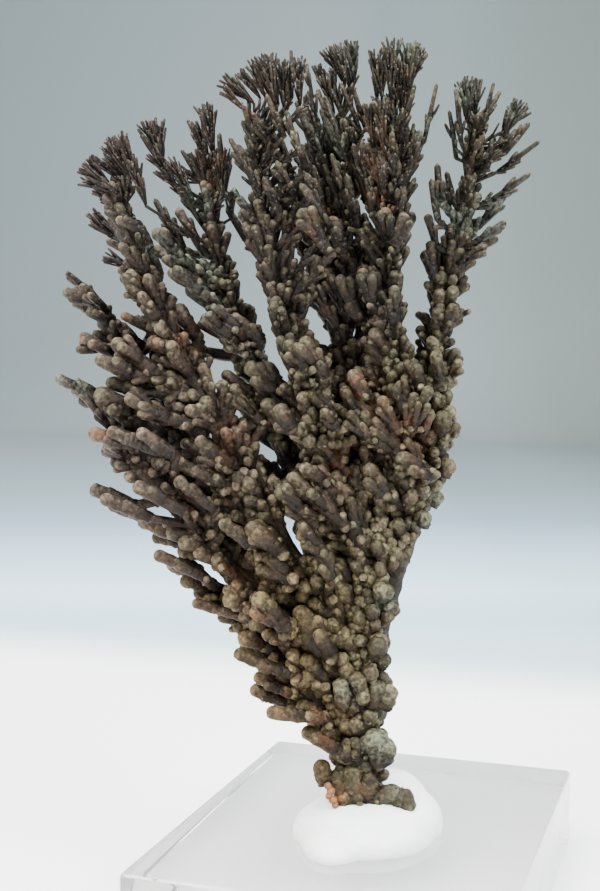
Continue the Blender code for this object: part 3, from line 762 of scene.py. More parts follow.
FOOT_LUMPS = [
    (322, 769, 326, 784, 1.15), (353, 776, 355, 800, 1.45), (367, 784, 368, 797, 1.4),
    (345, 797, 347, 806, 1.25), (338, 778, 342, 796, 1.1), (392, 794, 364, 801, 1.2),
    (403, 799, 388, 794, 1.3), (406, 804, 400, 797, 1.15),
]
BARE_FOOT = [
    (328, 786, 0.45), (331, 791, 0.5), (329, 796, 0.45), (333, 800, 0.5), (335, 805, 0.4),
]
EDGE_KNOB_DEPTH = (1.6, 1.2)
EDGE_KNOB_SPLAY = 0.6
EDGE_KNOB_TOP = 0.15
KNOB_BOW = 0.04
KNOB_STALK = 0.7
KNOB_STALK_LEVEL = (0.0, 0.5)
KNOB_LEVEL = (0.1, 0.85)
KNOB_GREEN = (0.3, 0.05)
TALL_KNOB_DEPTH = 2.3
TALL_KNOB_LEVEL = (0.2, 1.0)
TALL_KNOB_GREEN = 0.5
FOOT_LUMP_DEPTH = 1.4
FOOT_LUMP_MARKS = {"level": (0.4, 0.85), "tone": 0.5, "green": 0.3}
TRUNK_KNOBS = 190
TRUNK_RISE = (0.3, 1.0)
FOOT_BELOW = 13.0
FOOT_RISE = 0.2
TRUNK_WIDTH = (0.6, 1.05)
TRUNK_REACH = (1.7, 2.9)
TRUNK_LEVEL = (0.0, 0.82)
TRUNK_BOW = 0.05
TRUNK_GREEN = (0.3, 0.0)
DRESSED_EACH = 3
GREEN_BELOW = 30.0
BARE_DEPTH = 2.6
BARE_LEVEL = (0.6, 1.0)
FINGER_RADIUS = [(12.0, 1.0), (30.0, 0.92), (50.0, 0.78), (70.0, 0.60), (85.0, 0.42), (97.0, 0.28)]
GOLDEN_ANGLE = math.radians(137.5)
TOWARDS = Vector((0.0, 1.0, 0.0))
HEAD_ON = 0.05
STEM_STRIDE = 1.0
STEM_STEP = 3
STEM_OVERLAP = 4
STEM_LEVEL = (0.0, 0.25)
STEM_TONE = 0.4
SHORTEST = 1.2
SHORTENED = 0.85
POINTED_FROM = 80.0

# Side fingers: their width against the finger's, the pace along it, their reach and their lean.
KNOB_DRESS = (0.7, 1.1, 1.6, (0.6, 1.1))
DRESS_TURNS = 16
DRESS_TO = 0.94
DRESS_SHORTENS = 0.45
DRESS_THINS = 0.25
DRESS_LENGTH = (0.7, 1.25)
DRESS_WIDTH = (0.75, 1.1)
DRESS_PACE = (0.6, 1.4)
DRESS_BOW = 0.04
DRESS_LEVEL = (0.1, 0.95)


def smooth_run(points, stride):
    """A rounded line through points, as evenly as it comes, about one stride apart."""
    knots = [Vector(point) for point in points]
    knots = [2 * knots[0] - knots[1]] + knots + [2 * knots[-1] - knots[-2]]
    line = []
    for a, b, c, d in zip(knots, knots[1:], knots[2:], knots[3:]):
        steps = max(round((c - b).length / stride), 1)
        for step in range(steps):
            t = step / steps
            line.append(0.5 * (2 * b + (c - a) * t + (2 * a - 5 * b + 4 * c - d) * t * t
                               + (3 * b - a - 3 * c + d) * t ** 3))
    return line + [knots[-2]]


def at_height(z, table):
    """A size that changes with height, from a table of (height, size)."""
    return float(np.interp(z, [row[0] for row in table], [row[1] for row in table]))


def bar(growth, line, thickness):
    """A solid stem along a line, as overlapping fingers that taper."""
    last = len(line) - 1
    for index in range(0, last, STEM_STEP):
        share = index / last
        radius = thickness[0] + (thickness[1] - thickness[0]) * share
        end = line[min(index + STEM_OVERLAP, last)]
        growth.finger(line[index], end, radius, level=STEM_LEVEL, tone=STEM_TONE)


def frame_of(heading):
    """Two directions square to a heading: to its right in the fan, and towards the viewer."""
    side = TOWARDS.cross(heading)
    side = side.normalized() if side.length > HEAD_ON else Vector((1.0, 0.0, 0.0))
    return side, heading.cross(side).normalized()


def around(side, front, turn):
    return side * math.sin(turn) + front * math.cos(turn)


# Where open air shows between shoots and beside the trunk, as lines in the frame. Side fingers,
# buds and most of the fingers placed by chance keep clear of them.
OPEN_GAPS = [
    [(411, 334), (412, 278), (420, 202), (434, 143), (446, 101), (448, -29)],
    [(283, 378), (261, 311), (241, 249), (232, 211), (221, 147), (195, -29)],
    [(242, 392), (204, 324), (170, 275), (149, 220), (130, 147), (118, -29)],
    [(127, 320), (90, 257), (29, 166)],
    [(127, 409), (99, 372), (-4, 329)],
    [(177, 551), (123, 505), (-1, 503)],
    [(140, 440), (158, 452)],
    [(180, 475), (192, 482)],
    [(140, 500), (184, 522)],
    [(188, 561), (228, 579)],
    [(208, 425), (232, 462)],
    [(268, 448), (288, 468)],
    [(281, 524), (297, 552)],
    [(262, 640), (280, 650)],
    [(292, 606), (304, 614)],
    [(240, 250), (262, 300), (268, 345), (285, 372)],
    [(308, 310), (316, 325), (324, 340)],
    [(180, 368), (205, 392)],
    [(405, 290), (412, 260)],
    [(430, 522), (417, 555), (403, 580), (404, 612), (396, 633), (396, 655), (399, 676),
     (406, 697), (399, 720)],
]
GAP_STARTS = np.array([place for gap in OPEN_GAPS for place in gap[:-1]], dtype=float)
GAP_RUNS = np.array([place for gap in OPEN_GAPS for place in gap[1:]], dtype=float) - GAP_STARTS
GAP_HALF_WIDTH = 3.0


def aside_of(origin, run, place):
    """Which side of a line a place is on, by the sign."""
    away = place - origin
    return run[..., 0] * away[..., 1] - run[..., 1] * away[..., 0]


def crosses_gap(root, end):
    """True if the run between two points of the fan is seen to cross the open air."""
    p, q = np.array(seen(root)), np.array(seen(end))
    parted = aside_of(p, q - p, GAP_STARTS) * aside_of(p, q - p, GAP_STARTS + GAP_RUNS) < 0.0
    passed = aside_of(GAP_STARTS, GAP_RUNS, p) * aside_of(GAP_STARTS, GAP_RUNS, q) < 0.0
    return (parted & passed).any()


def in_the_open(root, end, radius):
    """True if a finger is seen to cross or to crowd the open air between shoots."""
    if crosses_gap(root, end):
        return True
    off = np.array(seen(end)) - GAP_STARTS
    share = np.clip((off * GAP_RUNS).sum(axis=1) / (GAP_RUNS ** 2).sum(axis=1), 0.0, 1.0)
    away = np.linalg.norm(off - GAP_RUNS * share[:, None], axis=1).min()
    return away < GAP_HALF_WIDTH + radius / FRAME_UNIT


def kept_clear(root, course, length, radius):
    """The length at which a finger stops short of the open gaps, or else its shortest."""
    while length > SHORTEST and in_the_open(root, root + course * length, radius):
        length *= SHORTENED
    return length


def dress(growth, root, end, radius, style):
    """Side fingers set round a finger by the golden angle, shorter and finer towards its end."""
    width, pace, reach, lean = style
    draw = growth.draw
    axis = end - root
    heading = axis.normalized()
    side, front = frame_of(heading)
    order = draw.randrange(DRESS_TURNS)
    place = pace * draw.random()
    while place < axis.length * DRESS_TO:
        share = place / axis.length
        outward = around(side, front, GOLDEN_ANGLE * order)
        start = root + axis * share
        length = reach * (1.0 - DRESS_SHORTENS * share) * draw.uniform(*DRESS_LENGTH)
        course = (heading + outward * draw.uniform(*lean)).normalized()
        thick = radius * width * (1.0 - DRESS_THINS * share) * draw.uniform(*DRESS_WIDTH)
        place += pace * draw.uniform(*DRESS_PACE)
        order += 1
        tip = start + course * length
        if not in_the_open(start, tip, thick):
            growth.slim(start)(start, tip, thick, bow=DRESS_BOW, level=DRESS_LEVEL)


trunk = Growth(TRUNK_SEED)
trunk_line = smooth_run(TRUNK_STEM, STEM_STRIDE)
bar(trunk, trunk_line, TRUNK_THICKNESS)
for order, (x, y, radius) in enumerate(EDGE_KNOBS):
    centre = sighted(x, y, EDGE_KNOB_DEPTH[0] + EDGE_KNOB_DEPTH[1] * math.sin(GOLDEN_ANGLE * order))
    root = min(trunk_line, key=lambda point: (point - centre).length)
    rise = ((centre - root).normalized() * EDGE_KNOB_SPLAY + Vector((0.0, 0.0, 1.0))).normalized()
    trunk.finger(root, centre, radius * KNOB_STALK, level=KNOB_STALK_LEVEL)
    trunk.stout(centre - rise * radius, centre + rise * radius * EDGE_KNOB_TOP, radius,
                bow=KNOB_BOW, level=KNOB_LEVEL, green=KNOB_GREEN[centre.z >= GREEN_BELOW])
for order in range(TRUNK_KNOBS):
    root = trunk_line[round(order / TRUNK_KNOBS * (len(trunk_line) - 1))]
    turn = GOLDEN_ANGLE * order
    rise = trunk.draw.uniform(*TRUNK_RISE)
    outward = Vector((math.cos(turn), math.sin(turn), rise if root.z > FOOT_BELOW else FOOT_RISE))
    radius = at_height(root.z, FINGER_RADIUS) * trunk.draw.uniform(*TRUNK_WIDTH)
    end = root + outward * trunk.draw.uniform(*TRUNK_REACH)
    if in_the_open(root, end, radius):
        continue
    trunk.finger(root, end, radius, bow=TRUNK_BOW, level=TRUNK_LEVEL,
                 green=TRUNK_GREEN[root.z >= GREEN_BELOW])
    if order % DRESSED_EACH == 0:
        dress(trunk, root, end, radius, KNOB_DRESS)
for tip_x, tip_y, root_x, root_y, radius in TALL_KNOBS:
    trunk.stout(sighted(root_x, root_y, TALL_KNOB_DEPTH), sighted(tip_x, tip_y, TALL_KNOB_DEPTH),
                radius, level=TALL_KNOB_LEVEL, green=TALL_KNOB_GREEN)
for tip_x, tip_y, root_x, root_y, radius in FOOT_LUMPS:
    trunk.stout(sighted(root_x, root_y, FOOT_LUMP_DEPTH), sighted(tip_x, tip_y, FOOT_LUMP_DEPTH),
                radius, bow=KNOB_BOW, **FOOT_LUMP_MARKS)
for x, y, radius in BARE_FOOT:
    trunk.bead(sighted(x, y, BARE_DEPTH), radius, level=BARE_LEVEL)
copper_piece(trunk, "trunk")


# The nine branches: each a stem that runs up and out from a fork, with twigs to the fan's rim,
# barbs to both sides and round-headed fingers to the front and back. The shoots that show on
# their own are (tip x, tip y, root x, root y, radius), seen in the frame.
BRANCHES = {}
BRANCHES["right_branch"] = {
    "stem": [(5.2, 0.0, 47.0), (7.3, 0.0, 54.0), (7.3, 0.0, 60.0), (7.5, 0.0, 66.0), (8.5, 0.0, 71.5),
        (9.9, 0.5, 77.0), (10.9, 1.0, 83.0), (11.6, 1.5, 88.0)],
    "thickness": (1.5, 0.5),
    "barbs_to": 76.0,
    "tips": [(465, 309), (461, 359), (454, 417)],
    "fronds": [(468, 77, 469, 118, 1.0), (464, 82, 466, 120, 0.8), (473, 80, 472, 116, 0.8),
        (518, 100, 504, 138, 1.0), (525, 107, 508, 130, 0.7), (511, 108, 502, 132, 0.7)],
    "fingers": [(449, 110, 456, 158, 0.42), (456, 87, 461, 142, 0.5), (482, 78, 475, 115, 0.32),
        (494, 82, 482, 128, 0.38), (501, 90, 482, 124, 0.5), (540, 141, 498, 172, 0.42),
        (530, 122, 504, 154, 0.5), (518, 128, 502, 150, 0.6), (485, 134, 468, 164, 0.55),
        (493, 138, 486, 170, 0.6), (505, 130, 492, 160, 0.5), (531, 173, 492, 200, 0.5),
        (506, 196, 483, 220, 0.55), (500, 207, 478, 228, 0.45), (506, 222, 476, 242, 0.5),
        (493, 236, 462, 254, 0.75), (487, 244, 462, 262, 0.6), (437, 163, 440, 200, 0.6),
        (446, 171, 455, 205, 0.55), (431, 178, 438, 220, 0.6), (443, 180, 449, 214, 0.65),
        (427, 214, 436, 246, 0.6), (424, 250, 434, 275, 0.8), (452, 288, 447, 306, 0.95),
        (455, 304, 446, 322, 0.8), (446, 326, 442, 344, 0.8), (452, 349, 442, 376, 0.9),
        (435, 351, 438, 372, 0.75), (443, 383, 438, 398, 0.8), (438, 392, 430, 410, 0.7),
        (447, 416, 438, 428, 0.85), (437, 432, 428, 444, 1.0), (426, 420, 420, 434, 0.8),
        (462, 268, 452, 282, 0.75)],
    "left_reach": [(50.0, 4.0), (66.0, 3.2), (75.0, 3.0), (90.0, 3.0)],
    "right_reach": [(50.0, 2.0), (66.0, 2.4), (75.0, 4.0), (90.0, 3.5)],
}
BRANCHES["centre_right_branch"] = {
    "stem": [(2.8, 0.0, 40.0), (4.4, 0.0, 47.0), (3.4, 1.0, 54.0), (2.6, 2.0, 62.0), (2.3, 2.5, 70.0),
        (2.4, 3.0, 78.0), (2.8, 3.0, 88.0)],
    "thickness": (1.4, 0.5),
    "barbs_to": 84.0,
    "fronds": [(375, 50, 377, 98, 1.1), (380, 50, 382, 100, 0.8), (391, 38, 396, 98, 1.1),
        (387, 48, 392, 100, 0.9), (398, 50, 404, 104, 0.9), (409, 42, 407, 98, 1.0),
        (416, 44, 409, 90, 0.8), (421, 50, 411, 84, 0.6), (368, 104, 374, 148, 1.0),
        (402, 70, 402, 120, 0.9), (390, 95, 392, 145, 0.9), (380, 100, 383, 150, 0.9)],
    "fingers": [(428, 53, 411, 76, 0.4), (415, 84, 401, 134, 0.5), (408, 108, 398, 150, 0.55),
        (437, 83, 424, 142, 0.45), (424, 136, 404, 188, 0.55), (413, 130, 410, 168, 0.5),
        (422, 130, 414, 158, 0.45), (405, 150, 400, 186, 0.75), (399, 160, 394, 200, 0.7),
        (381, 152, 384, 190, 0.8), (371, 160, 374, 200, 0.7), (392, 130, 393, 172, 0.6),
        (362, 140, 368, 190, 0.6), (393, 182, 388, 215, 0.8), (405, 186, 396, 220, 0.7),
        (413, 212, 400, 240, 0.85), (385, 207, 388, 240, 0.9), (370, 175, 372, 212, 0.8)],
    "foremost": [(359, 413, 397, 445, 0.8), (396, 453, 432, 475, 0.9), (411, 359, 422, 390, 0.8),
        (406, 213, 396, 244, 0.85), (361, 268, 371, 304, 0.8), (358, 402, 402, 462, 0.9),
        (348, 411, 368, 438, 0.65), (390, 430, 402, 452, 0.8), (380, 396, 396, 430, 0.7),
        (415, 392, 408, 426, 0.65), (435, 350, 440, 382, 0.75), (430, 386, 414, 426, 0.6),
        (400, 380, 406, 412, 0.8), (350, 370, 366, 396, 0.75), (395, 285, 392, 320, 0.7),
        (343, 484, 357, 540, 1.0), (366, 464, 384, 492, 0.9), (408, 446, 418, 464, 0.8)],
    "left_reach": [(45.0, 5.0), (70.0, 7.0), (85.0, 7.0), (92.0, 3.5)],
    "right_reach": [(45.0, 4.5), (62.0, 3.6), (75.0, 3.6), (92.0, 3.5)],
}
BRANCHES["centre_branch"] = {
    "stem": [(0.9, 0.0, 34.0), (2.0, 0.0, 41.0), (-0.2, -1.0, 50.0), (-2.2, -2.0, 59.0),
        (-3.5, -3.0, 68.0), (-4.6, -3.0, 77.0), (-5.2, -3.0, 88.0)],
    "thickness": (1.4, 0.5),
    "barbs_to": 84.0,
    "fronds": [(327, 48, 345, 84, 0.9), (335, 46, 349, 86, 0.9), (341, 42, 350, 84, 1.0),
        (352, 42, 354, 82, 1.0), (348, 45, 352, 90, 0.8), (316, 66, 330, 104, 0.9),
        (321, 78, 334, 112, 0.9), (330, 68, 340, 112, 0.9)],
    "fingers": [(330, 88, 355, 142, 0.5), (340, 82, 362, 136, 0.5), (352, 84, 366, 130, 0.5),
        (324, 95, 346, 150, 0.5), (317, 88, 336, 142, 0.5), (313, 112, 330, 158, 0.55),
        (320, 108, 340, 160, 0.55), (332, 118, 350, 168, 0.6), (344, 118, 358, 170, 0.6),
        (355, 151, 359, 192, 0.8), (346, 160, 352, 202, 0.8), (337, 160, 346, 206, 0.8),
        (326, 168, 338, 212, 0.75), (331, 210, 332, 244, 0.9), (302, 197, 323, 238, 0.85),
        (320, 198, 336, 222, 0.8), (350, 184, 354, 222, 0.85), (312, 150, 328, 196, 0.6),
        (352, 205, 360, 240, 0.7), (360, 214, 366, 252, 0.7), (356, 238, 364, 275, 0.75),
        (347, 246, 356, 280, 0.75), (366, 236, 368, 270, 0.7), (344, 222, 352, 256, 0.7),
        (298, 200, 306, 240, 0.7), (292, 206, 300, 244, 0.7), (300, 226, 308, 262, 0.75),
        (311, 262, 319, 296, 0.75), (319, 256, 326, 290, 0.75)],
    "foremost": [(327, 103, 346, 163, 0.5), (331, 153, 351, 213, 0.6), (353, 143, 366, 203, 0.6),
        (346, 173, 359, 229, 0.65), (371, 123, 376, 183, 0.5), (323, 163, 346, 219, 0.6),
        (331, 216, 343, 254, 0.9), (310, 133, 336, 193, 0.5), (316, 470, 331, 495, 1.0),
        (298, 268, 340, 330, 0.65), (325, 268, 346, 312, 0.8), (338, 275, 362, 322, 0.75),
        (350, 258, 365, 312, 0.75), (361, 265, 374, 300, 0.75), (288, 270, 304, 304, 0.7),
        (335, 410, 347, 432, 0.8)],
    "left_reach": [(35.0, 5.5), (70.0, 7.0), (85.0, 7.0), (92.0, 3.5)],
    "right_reach": [(35.0, 5.5), (70.0, 7.0), (85.0, 7.0), (92.0, 3.5)],
}
BRANCHES["centre_left_branch"] = {
    "stem": [(-0.3, 0.0, 29.0), (0.7, 0.0, 36.0), (-2.8, 1.0, 44.5), (-6.2, 2.0, 54.0),
        (-8.8, 3.0, 63.0), (-11.0, 3.0, 72.0), (-12.4, 3.0, 81.0), (-13.2, 3.0, 88.0)],
    "thickness": (1.4, 0.5),
    "barbs_to": 78.0,
    "fronds": [(222, 79, 248, 100, 0.8), (232, 80, 254, 104, 0.8), (240, 72, 260, 98, 0.8),
        (224, 88, 246, 112, 0.6), (250, 62, 266, 98, 0.9), (257, 58, 272, 100, 1.0),
        (264, 54, 276, 106, 1.1), (270, 56, 278, 104, 1.0), (280, 60, 284, 108, 1.0),
        (287, 62, 288, 108, 0.9), (298, 57, 300, 106, 0.8)],
    "fingers": [(291, 49, 292, 98, 0.35), (306, 62, 312, 98, 0.4), (308, 90, 318, 122, 0.45),
        (229, 137, 262, 196, 0.55), (236, 144, 266, 178, 0.5), (242, 160, 262, 196, 0.5),
        (242, 104, 256, 144, 0.4), (246, 134, 262, 170, 0.55), (252, 112, 276, 150, 0.5),
        (254, 126, 284, 162, 0.6), (262, 116, 280, 156, 0.5), (266, 94, 284, 136, 0.5),
        (270, 128, 292, 172, 0.6), (274, 134, 288, 170, 0.6), (286, 110, 298, 150, 0.55),
        (300, 110, 322, 158, 0.55), (291, 130, 308, 172, 0.65), (298, 146, 316, 190, 0.65),
        (286, 166, 304, 208, 0.75), (305, 172, 322, 206, 0.7), (296, 100, 310, 140, 0.5),
        (276, 160, 294, 196, 0.7), (263, 176, 280, 214, 0.7), (256, 196, 272, 232, 0.8)],
    "foremost": [(300, 183, 331, 229, 0.65), (299, 209, 331, 254, 0.85), (296, 606, 331, 656, 1.2),
        (302, 337, 326, 378, 0.8), (310, 392, 332, 412, 0.7), (322, 412, 336, 428, 0.8),
        (286, 340, 306, 368, 0.75), (343, 386, 354, 410, 0.75)],
    "left_reach": [(30.0, 5.0), (55.0, 4.0), (75.0, 4.5), (92.0, 3.5)],
    "right_reach": [(30.0, 5.5), (70.0, 7.0), (85.0, 7.0), (92.0, 3.5)],
}
BRANCHES["upper_left_branch"] = {
    "stem": [(-0.9, 0.0, 25.0), (0.0, 0.0, 31.5), (-5.2, -1.0, 41.5), (-9.6, -2.0, 51.0),
        (-12.8, -2.5, 60.0), (-15.9, -3.0, 69.0), (-18.0, -3.0, 77.5), (-18.8, -3.0, 85.0)],
    "thickness": (1.4, 0.5),
    "barbs_to": 66.0,
    "tips": [(197, 322)],
    "fronds": [(144, 122, 158, 162, 0.8), (151, 120, 161, 164, 0.9), (158, 121, 163, 160, 0.8),
        (151, 153, 172, 182, 0.8), (160, 168, 184, 198, 0.7), (202, 104, 213, 150, 1.1),
        (207, 106, 214, 150, 0.9), (198, 120, 208, 158, 0.7), (193, 152, 208, 190, 0.8),
        (200, 160, 214, 200, 0.9), (210, 150, 220, 204, 1.0), (219, 150, 223, 200, 0.9),
        (227, 150, 226, 192, 0.8), (230, 192, 232, 218, 0.9), (170, 160, 196, 206, 0.8)],
    "fingers": [(142, 134, 160, 160, 0.35), (187, 119, 202, 150, 0.4), (181, 149, 200, 182, 0.45),
        (219, 132, 222, 162, 0.5), (204, 127, 213, 152, 0.4), (177, 187, 206, 230, 0.5),
        (154, 198, 186, 256, 0.55), (160, 212, 184, 250, 0.6), (177, 208, 204, 254, 0.65),
        (186, 222, 206, 254, 0.6), (226, 206, 246, 240, 0.7), (240, 210, 262, 246, 0.7)],
    "foremost": [(245, 364, 291, 394, 1.0), (262, 400, 300, 434, 0.95), (270, 405, 300, 434, 0.9),
        (231, 315, 262, 340, 0.8), (222, 336, 250, 356, 0.7), (295, 386, 330, 420, 0.8),
        (312, 438, 336, 462, 0.8), (222, 372, 250, 392, 0.75)],
    "left_reach": [(25.0, 5.5), (60.0, 6.0), (80.0, 6.0), (90.0, 3.0)],
    "right_reach": [(25.0, 5.0), (60.0, 6.0), (80.0, 5.0), (90.0, 3.0)],
}
BRANCHES["high_left_branch"] = {
    "stem": [(-1.0, 0.0, 22.0), (-1.0, 0.0, 28.0), (-7.0, 1.0, 37.0), (-13.0, 2.0, 47.0),
        (-18.2, 2.5, 57.0), (-22.6, 3.0, 66.0), (-25.9, 3.0, 74.0), (-28.4, 3.0, 81.0)],
    "thickness": (1.4, 0.5),
    "barbs_to": 60.0,
    "fronds": [(105, 145, 126, 172, 0.9), (111, 138, 130, 176, 1.0), (118, 134, 132, 178, 1.0),
        (122, 138, 138, 184, 0.9), (97, 156, 134, 192, 0.8), (108, 154, 130, 182, 0.7),
        (81, 168, 118, 194, 0.8), (83, 178, 116, 198, 0.8), (88, 159, 112, 188, 0.5),
        (95, 191, 126, 208, 0.7), (104, 197, 134, 216, 0.8), (132, 160, 146, 206, 0.8)],
    "fingers": [(104, 211, 140, 224, 0.6), (116, 218, 144, 232, 0.6), (126, 224, 150, 246, 0.8),
        (153, 229, 176, 252, 0.8), (154, 247, 182, 268, 0.75), (162, 256, 192, 276, 0.7),
        (168, 270, 202, 292, 0.8), (186, 287, 226, 316, 0.8), (201, 316, 232, 336, 0.8),
        (212, 308, 240, 330, 0.75), (222, 334, 250, 352, 0.8)],
    "foremost": [(246, 525, 281, 550, 1.1), (254, 594, 285, 626, 1.15), (262, 550, 291, 581, 1.1),
        (276, 405, 292, 428, 1.0), (288, 474, 342, 522, 0.9), (300, 465, 324, 482, 0.8),
        (276, 488, 300, 510, 0.8), (286, 508, 312, 524, 0.8), (298, 530, 326, 554, 1.0),
        (320, 548, 332, 580, 0.8)],
    "sweep": 0.1,
    "spread": 0.8,
    "left_reach": [(25.0, 6.0), (60.0, 6.5), (78.0, 6.0), (85.0, 3.5)],
    "right_reach": [(25.0, 5.0), (60.0, 6.0), (78.0, 5.0), (85.0, 3.5)],
}
BRANCHES["middle_left_branch"] = {
    "stem": [(-1.0, 0.0, 19.0), (-1.4, 0.0, 24.6), (-8.4, -1.0, 33.4), (-14.8, -2.0, 42.0),
        (-20.4, -2.5, 50.5), (-25.2, -3.0, 58.5), (-29.0, -3.0, 65.0)],
    "thickness": (1.4, 0.6),
    "barbs_to": 50.0,
    "fronds": [(90, 213, 122, 240, 0.8), (91, 223, 114, 238, 0.7), (106, 255, 134, 270, 0.9)],
    "fingers": [(106, 240, 142, 260, 0.5), (118, 268, 144, 284, 0.6), (130, 240, 152, 280, 0.8),
        (140, 232, 160, 276, 0.8), (120, 277, 156, 290, 0.7), (128, 290, 168, 306, 1.0),
        (135, 286, 170, 300, 0.9), (67, 275, 92, 294, 0.55), (80, 284, 108, 312, 0.6),
        (63, 291, 96, 304, 0.7), (72, 302, 104, 314, 0.6), (86, 311, 110, 322, 0.6),
        (98, 322, 126, 334, 0.8), (108, 326, 140, 346, 0.9), (121, 314, 154, 332, 0.6),
        (142, 322, 166, 336, 0.8), (176, 304, 198, 340, 1.0), (182, 318, 200, 346, 0.9),
        (183, 331, 202, 352, 1.0)],
    "foremost": [(230, 385, 254, 415, 0.85), (236, 396, 264, 424, 0.8), (252, 388, 278, 406, 0.8),
        (165, 398, 200, 424, 0.9), (186, 415, 206, 434, 0.7)],
    "sweep": 0.2,
    "spread": 0.6,
    "left_reach": [(20.0, 6.5), (50.0, 7.0), (70.0, 5.0)],
    "right_reach": [(20.0, 5.0), (50.0, 6.0), (70.0, 5.0)],
}
BRANCHES["low_left_branch"] = {
    "stem": [(-1.0, 0.0, 17.0), (-1.8, 0.0, 21.2), (-9.6, 1.0, 30.4), (-16.2, 2.0, 38.8),
        (-22.2, 2.5, 46.2), (-27.6, 3.0, 52.5)],
    "thickness": (1.4, 0.7),
    "barbs_to": 44.0,
    "fingers": [(79, 340, 114, 352, 0.7), (112, 340, 156, 372, 0.9), (106, 346, 140, 364, 0.8),
        (95, 358, 134, 374, 0.85), (118, 374, 146, 388, 0.8), (148, 338, 192, 372, 0.95),
        (57, 379, 76, 386, 0.6), (72, 386, 106, 400, 1.0), (94, 392, 134, 410, 1.1),
        (106, 381, 144, 394, 0.75), (94, 403, 126, 414, 0.9), (125, 395, 168, 420, 0.9),
        (168, 398, 202, 432, 1.1), (114, 412, 146, 426, 0.9)],
    "shafts": [(88, 432, 136, 446, 0.85), (107, 430, 160, 452, 0.8), (122, 448, 170, 468, 0.75),
        (137, 430, 176, 456, 0.75), (125, 460, 172, 492, 0.85), (130, 470, 165, 494, 0.7),
        (133, 484, 185, 512, 0.8), (150, 470, 216, 520, 0.8), (175, 478, 216, 510, 0.7),
        (178, 463, 216, 482, 0.8), (90, 488, 135, 506, 0.85), (100, 497, 150, 518, 0.75),
        (238, 508, 268, 530, 0.85), (252, 522, 282, 548, 0.95), (220, 520, 250, 545, 0.8),
        (205, 440, 236, 470, 0.8), (196, 438, 222, 458, 0.75)],
    "sweep": 0.28,
    "spread": 0.5,
    "left_reach": [(20.0, 3.0), (60.0, 3.5)],
    "right_reach": [(20.0, 3.5), (60.0, 4.5)],
}
BRANCHES["bottom_left_branch"] = {
    "stem": [(-0.9, 0.0, 14.5), (-2.0, 0.0, 17.8), (-7.8, -0.5, 25.0), (-13.0, -1.0, 31.0),
        (-17.6, -1.5, 35.6), (-21.4, -1.5, 39.4)],
    "thickness": (1.4, 0.8),
    "barbs_to": 60.0,
    "shafts": [(128, 510, 170, 528, 0.85), (138, 520, 185, 538, 0.8), (152, 536, 195, 548, 0.75),
        (165, 500, 215, 528, 0.75), (185, 518, 235, 548, 0.85), (177, 550, 215, 556, 0.9),
        (154, 553, 205, 578, 0.7), (186, 578, 235, 596, 0.9), (212, 564, 232, 574, 0.6),
        (192, 602, 258, 622, 0.66), (243, 590, 290, 612, 0.95), (252, 602, 295, 628, 0.95),
        (227, 557, 260, 585, 0.9), (230, 568, 262, 592, 0.8), (262, 632, 286, 642, 0.75),
        (240, 645, 292, 668, 0.75), (234, 652, 290, 674, 0.8), (254, 675, 292, 694, 0.78),
        (250, 688, 286, 702, 0.8), (266, 712, 322, 717, 0.85), (295, 641, 325, 668, 1.0),
        (303, 655, 324, 678, 0.9), (302, 729, 338, 750, 0.9), (108, 505, 150, 520, 0.6)],
    "sweep": 0.25,
    "spread": 0.5,
    "left_reach": [(15.0, 2.2), (45.0, 2.6)],
    "right_reach": [(15.0, 3.0), (45.0, 4.0)],
}
BRANCH_SEED = 20
ROUND_TOP = 70.0
TWIG_RUN = 1.4
OUTER_TWIG_RUN = 1.1
OUTER_FROM = -16.0
TWIG_SWAY = 3.0
LONG_TWIG = 3.5
BUD_WIDTH = (1.2, 1.35)
BUD_LEVEL = (0.2, 1.0)
BUD_HEAD_LEVEL = (0.35, 1.0)
SLENDER = [(60.0, 1.0), (74.0, 0.88), (84.0, 0.74), (94.0, 0.66)]
FROND_DEPTHS = (0.0, 1.8)
FINGER_DEPTH = (0.6, 2.2)
SHAFT_DEPTH = (2.2, 2.2)
FOREMOST_DEPTH = (4.6, 1.0)
TIP_SWAY = (0.5, 1.0)
STALK_BACK = 0.6
LONG_STALK = 2.5
STALK_WIDTH = 0.7
FROND_STALK_WIDTH = 0.4
STALK_LEVEL = (0.0, 0.4)
STALK_DRESS = (0.8, 1.1, 2.2, (0.2, 0.6))
SHOOT_BOW = 0.03
TWIG_BOW = 0.05
ACROSS_AIR = 12.0
OTHER_BRANCH = 1.15
CROWN_BARB = 3.0
CROWN_BARB_WIDTH = 0.9
LONGEST_BARB = 9.0
BARB_LEAN = [(20.0, 0.62), (60.0, 0.55), (75.0, 0.46), (90.0, 0.32)]
BARB_LEANS = (0.7, 1.3)
BARB_DEPTHS = (-0.5, 0.6)
BARB_LENGTHS = (0.8, 1.2)
BARBED_FROM = 4
BARB_STEP = 2
FACES = (1.0, 1.0, -1.0, -1.0)
FACE_LEAN = ((0.35, 0.8), (0.15, 0.4))
FACE_SLANT = ((-0.9, 0.5), (-0.5, 0.7))
RIGHT_SIDE_FROM = 6.0
FACE_REACH = [(15.0, 3.6), (50.0, 4.0), (75.0, 4.4), (92.0, 2.6)]
FACE_LENGTHS = (0.65, 1.25)
FACE_SHORTER = 0.7
FACE_WIDTHS = (0.8, 1.15)
FACE_LEVEL = (0.0, 1.0)
FACE_DRESS_RUN = (1.0, 0.8)
FACE_DRESS = ((0.7, 1.3, 2.0, (0.3, 0.8)), (0.7, 1.3, 2.0, (0.15, 0.4)))


def heading_at(line, index):
    return (line[min(index + 1, len(line) - 1)] - line[max(index - 1, 0)]).normalized()


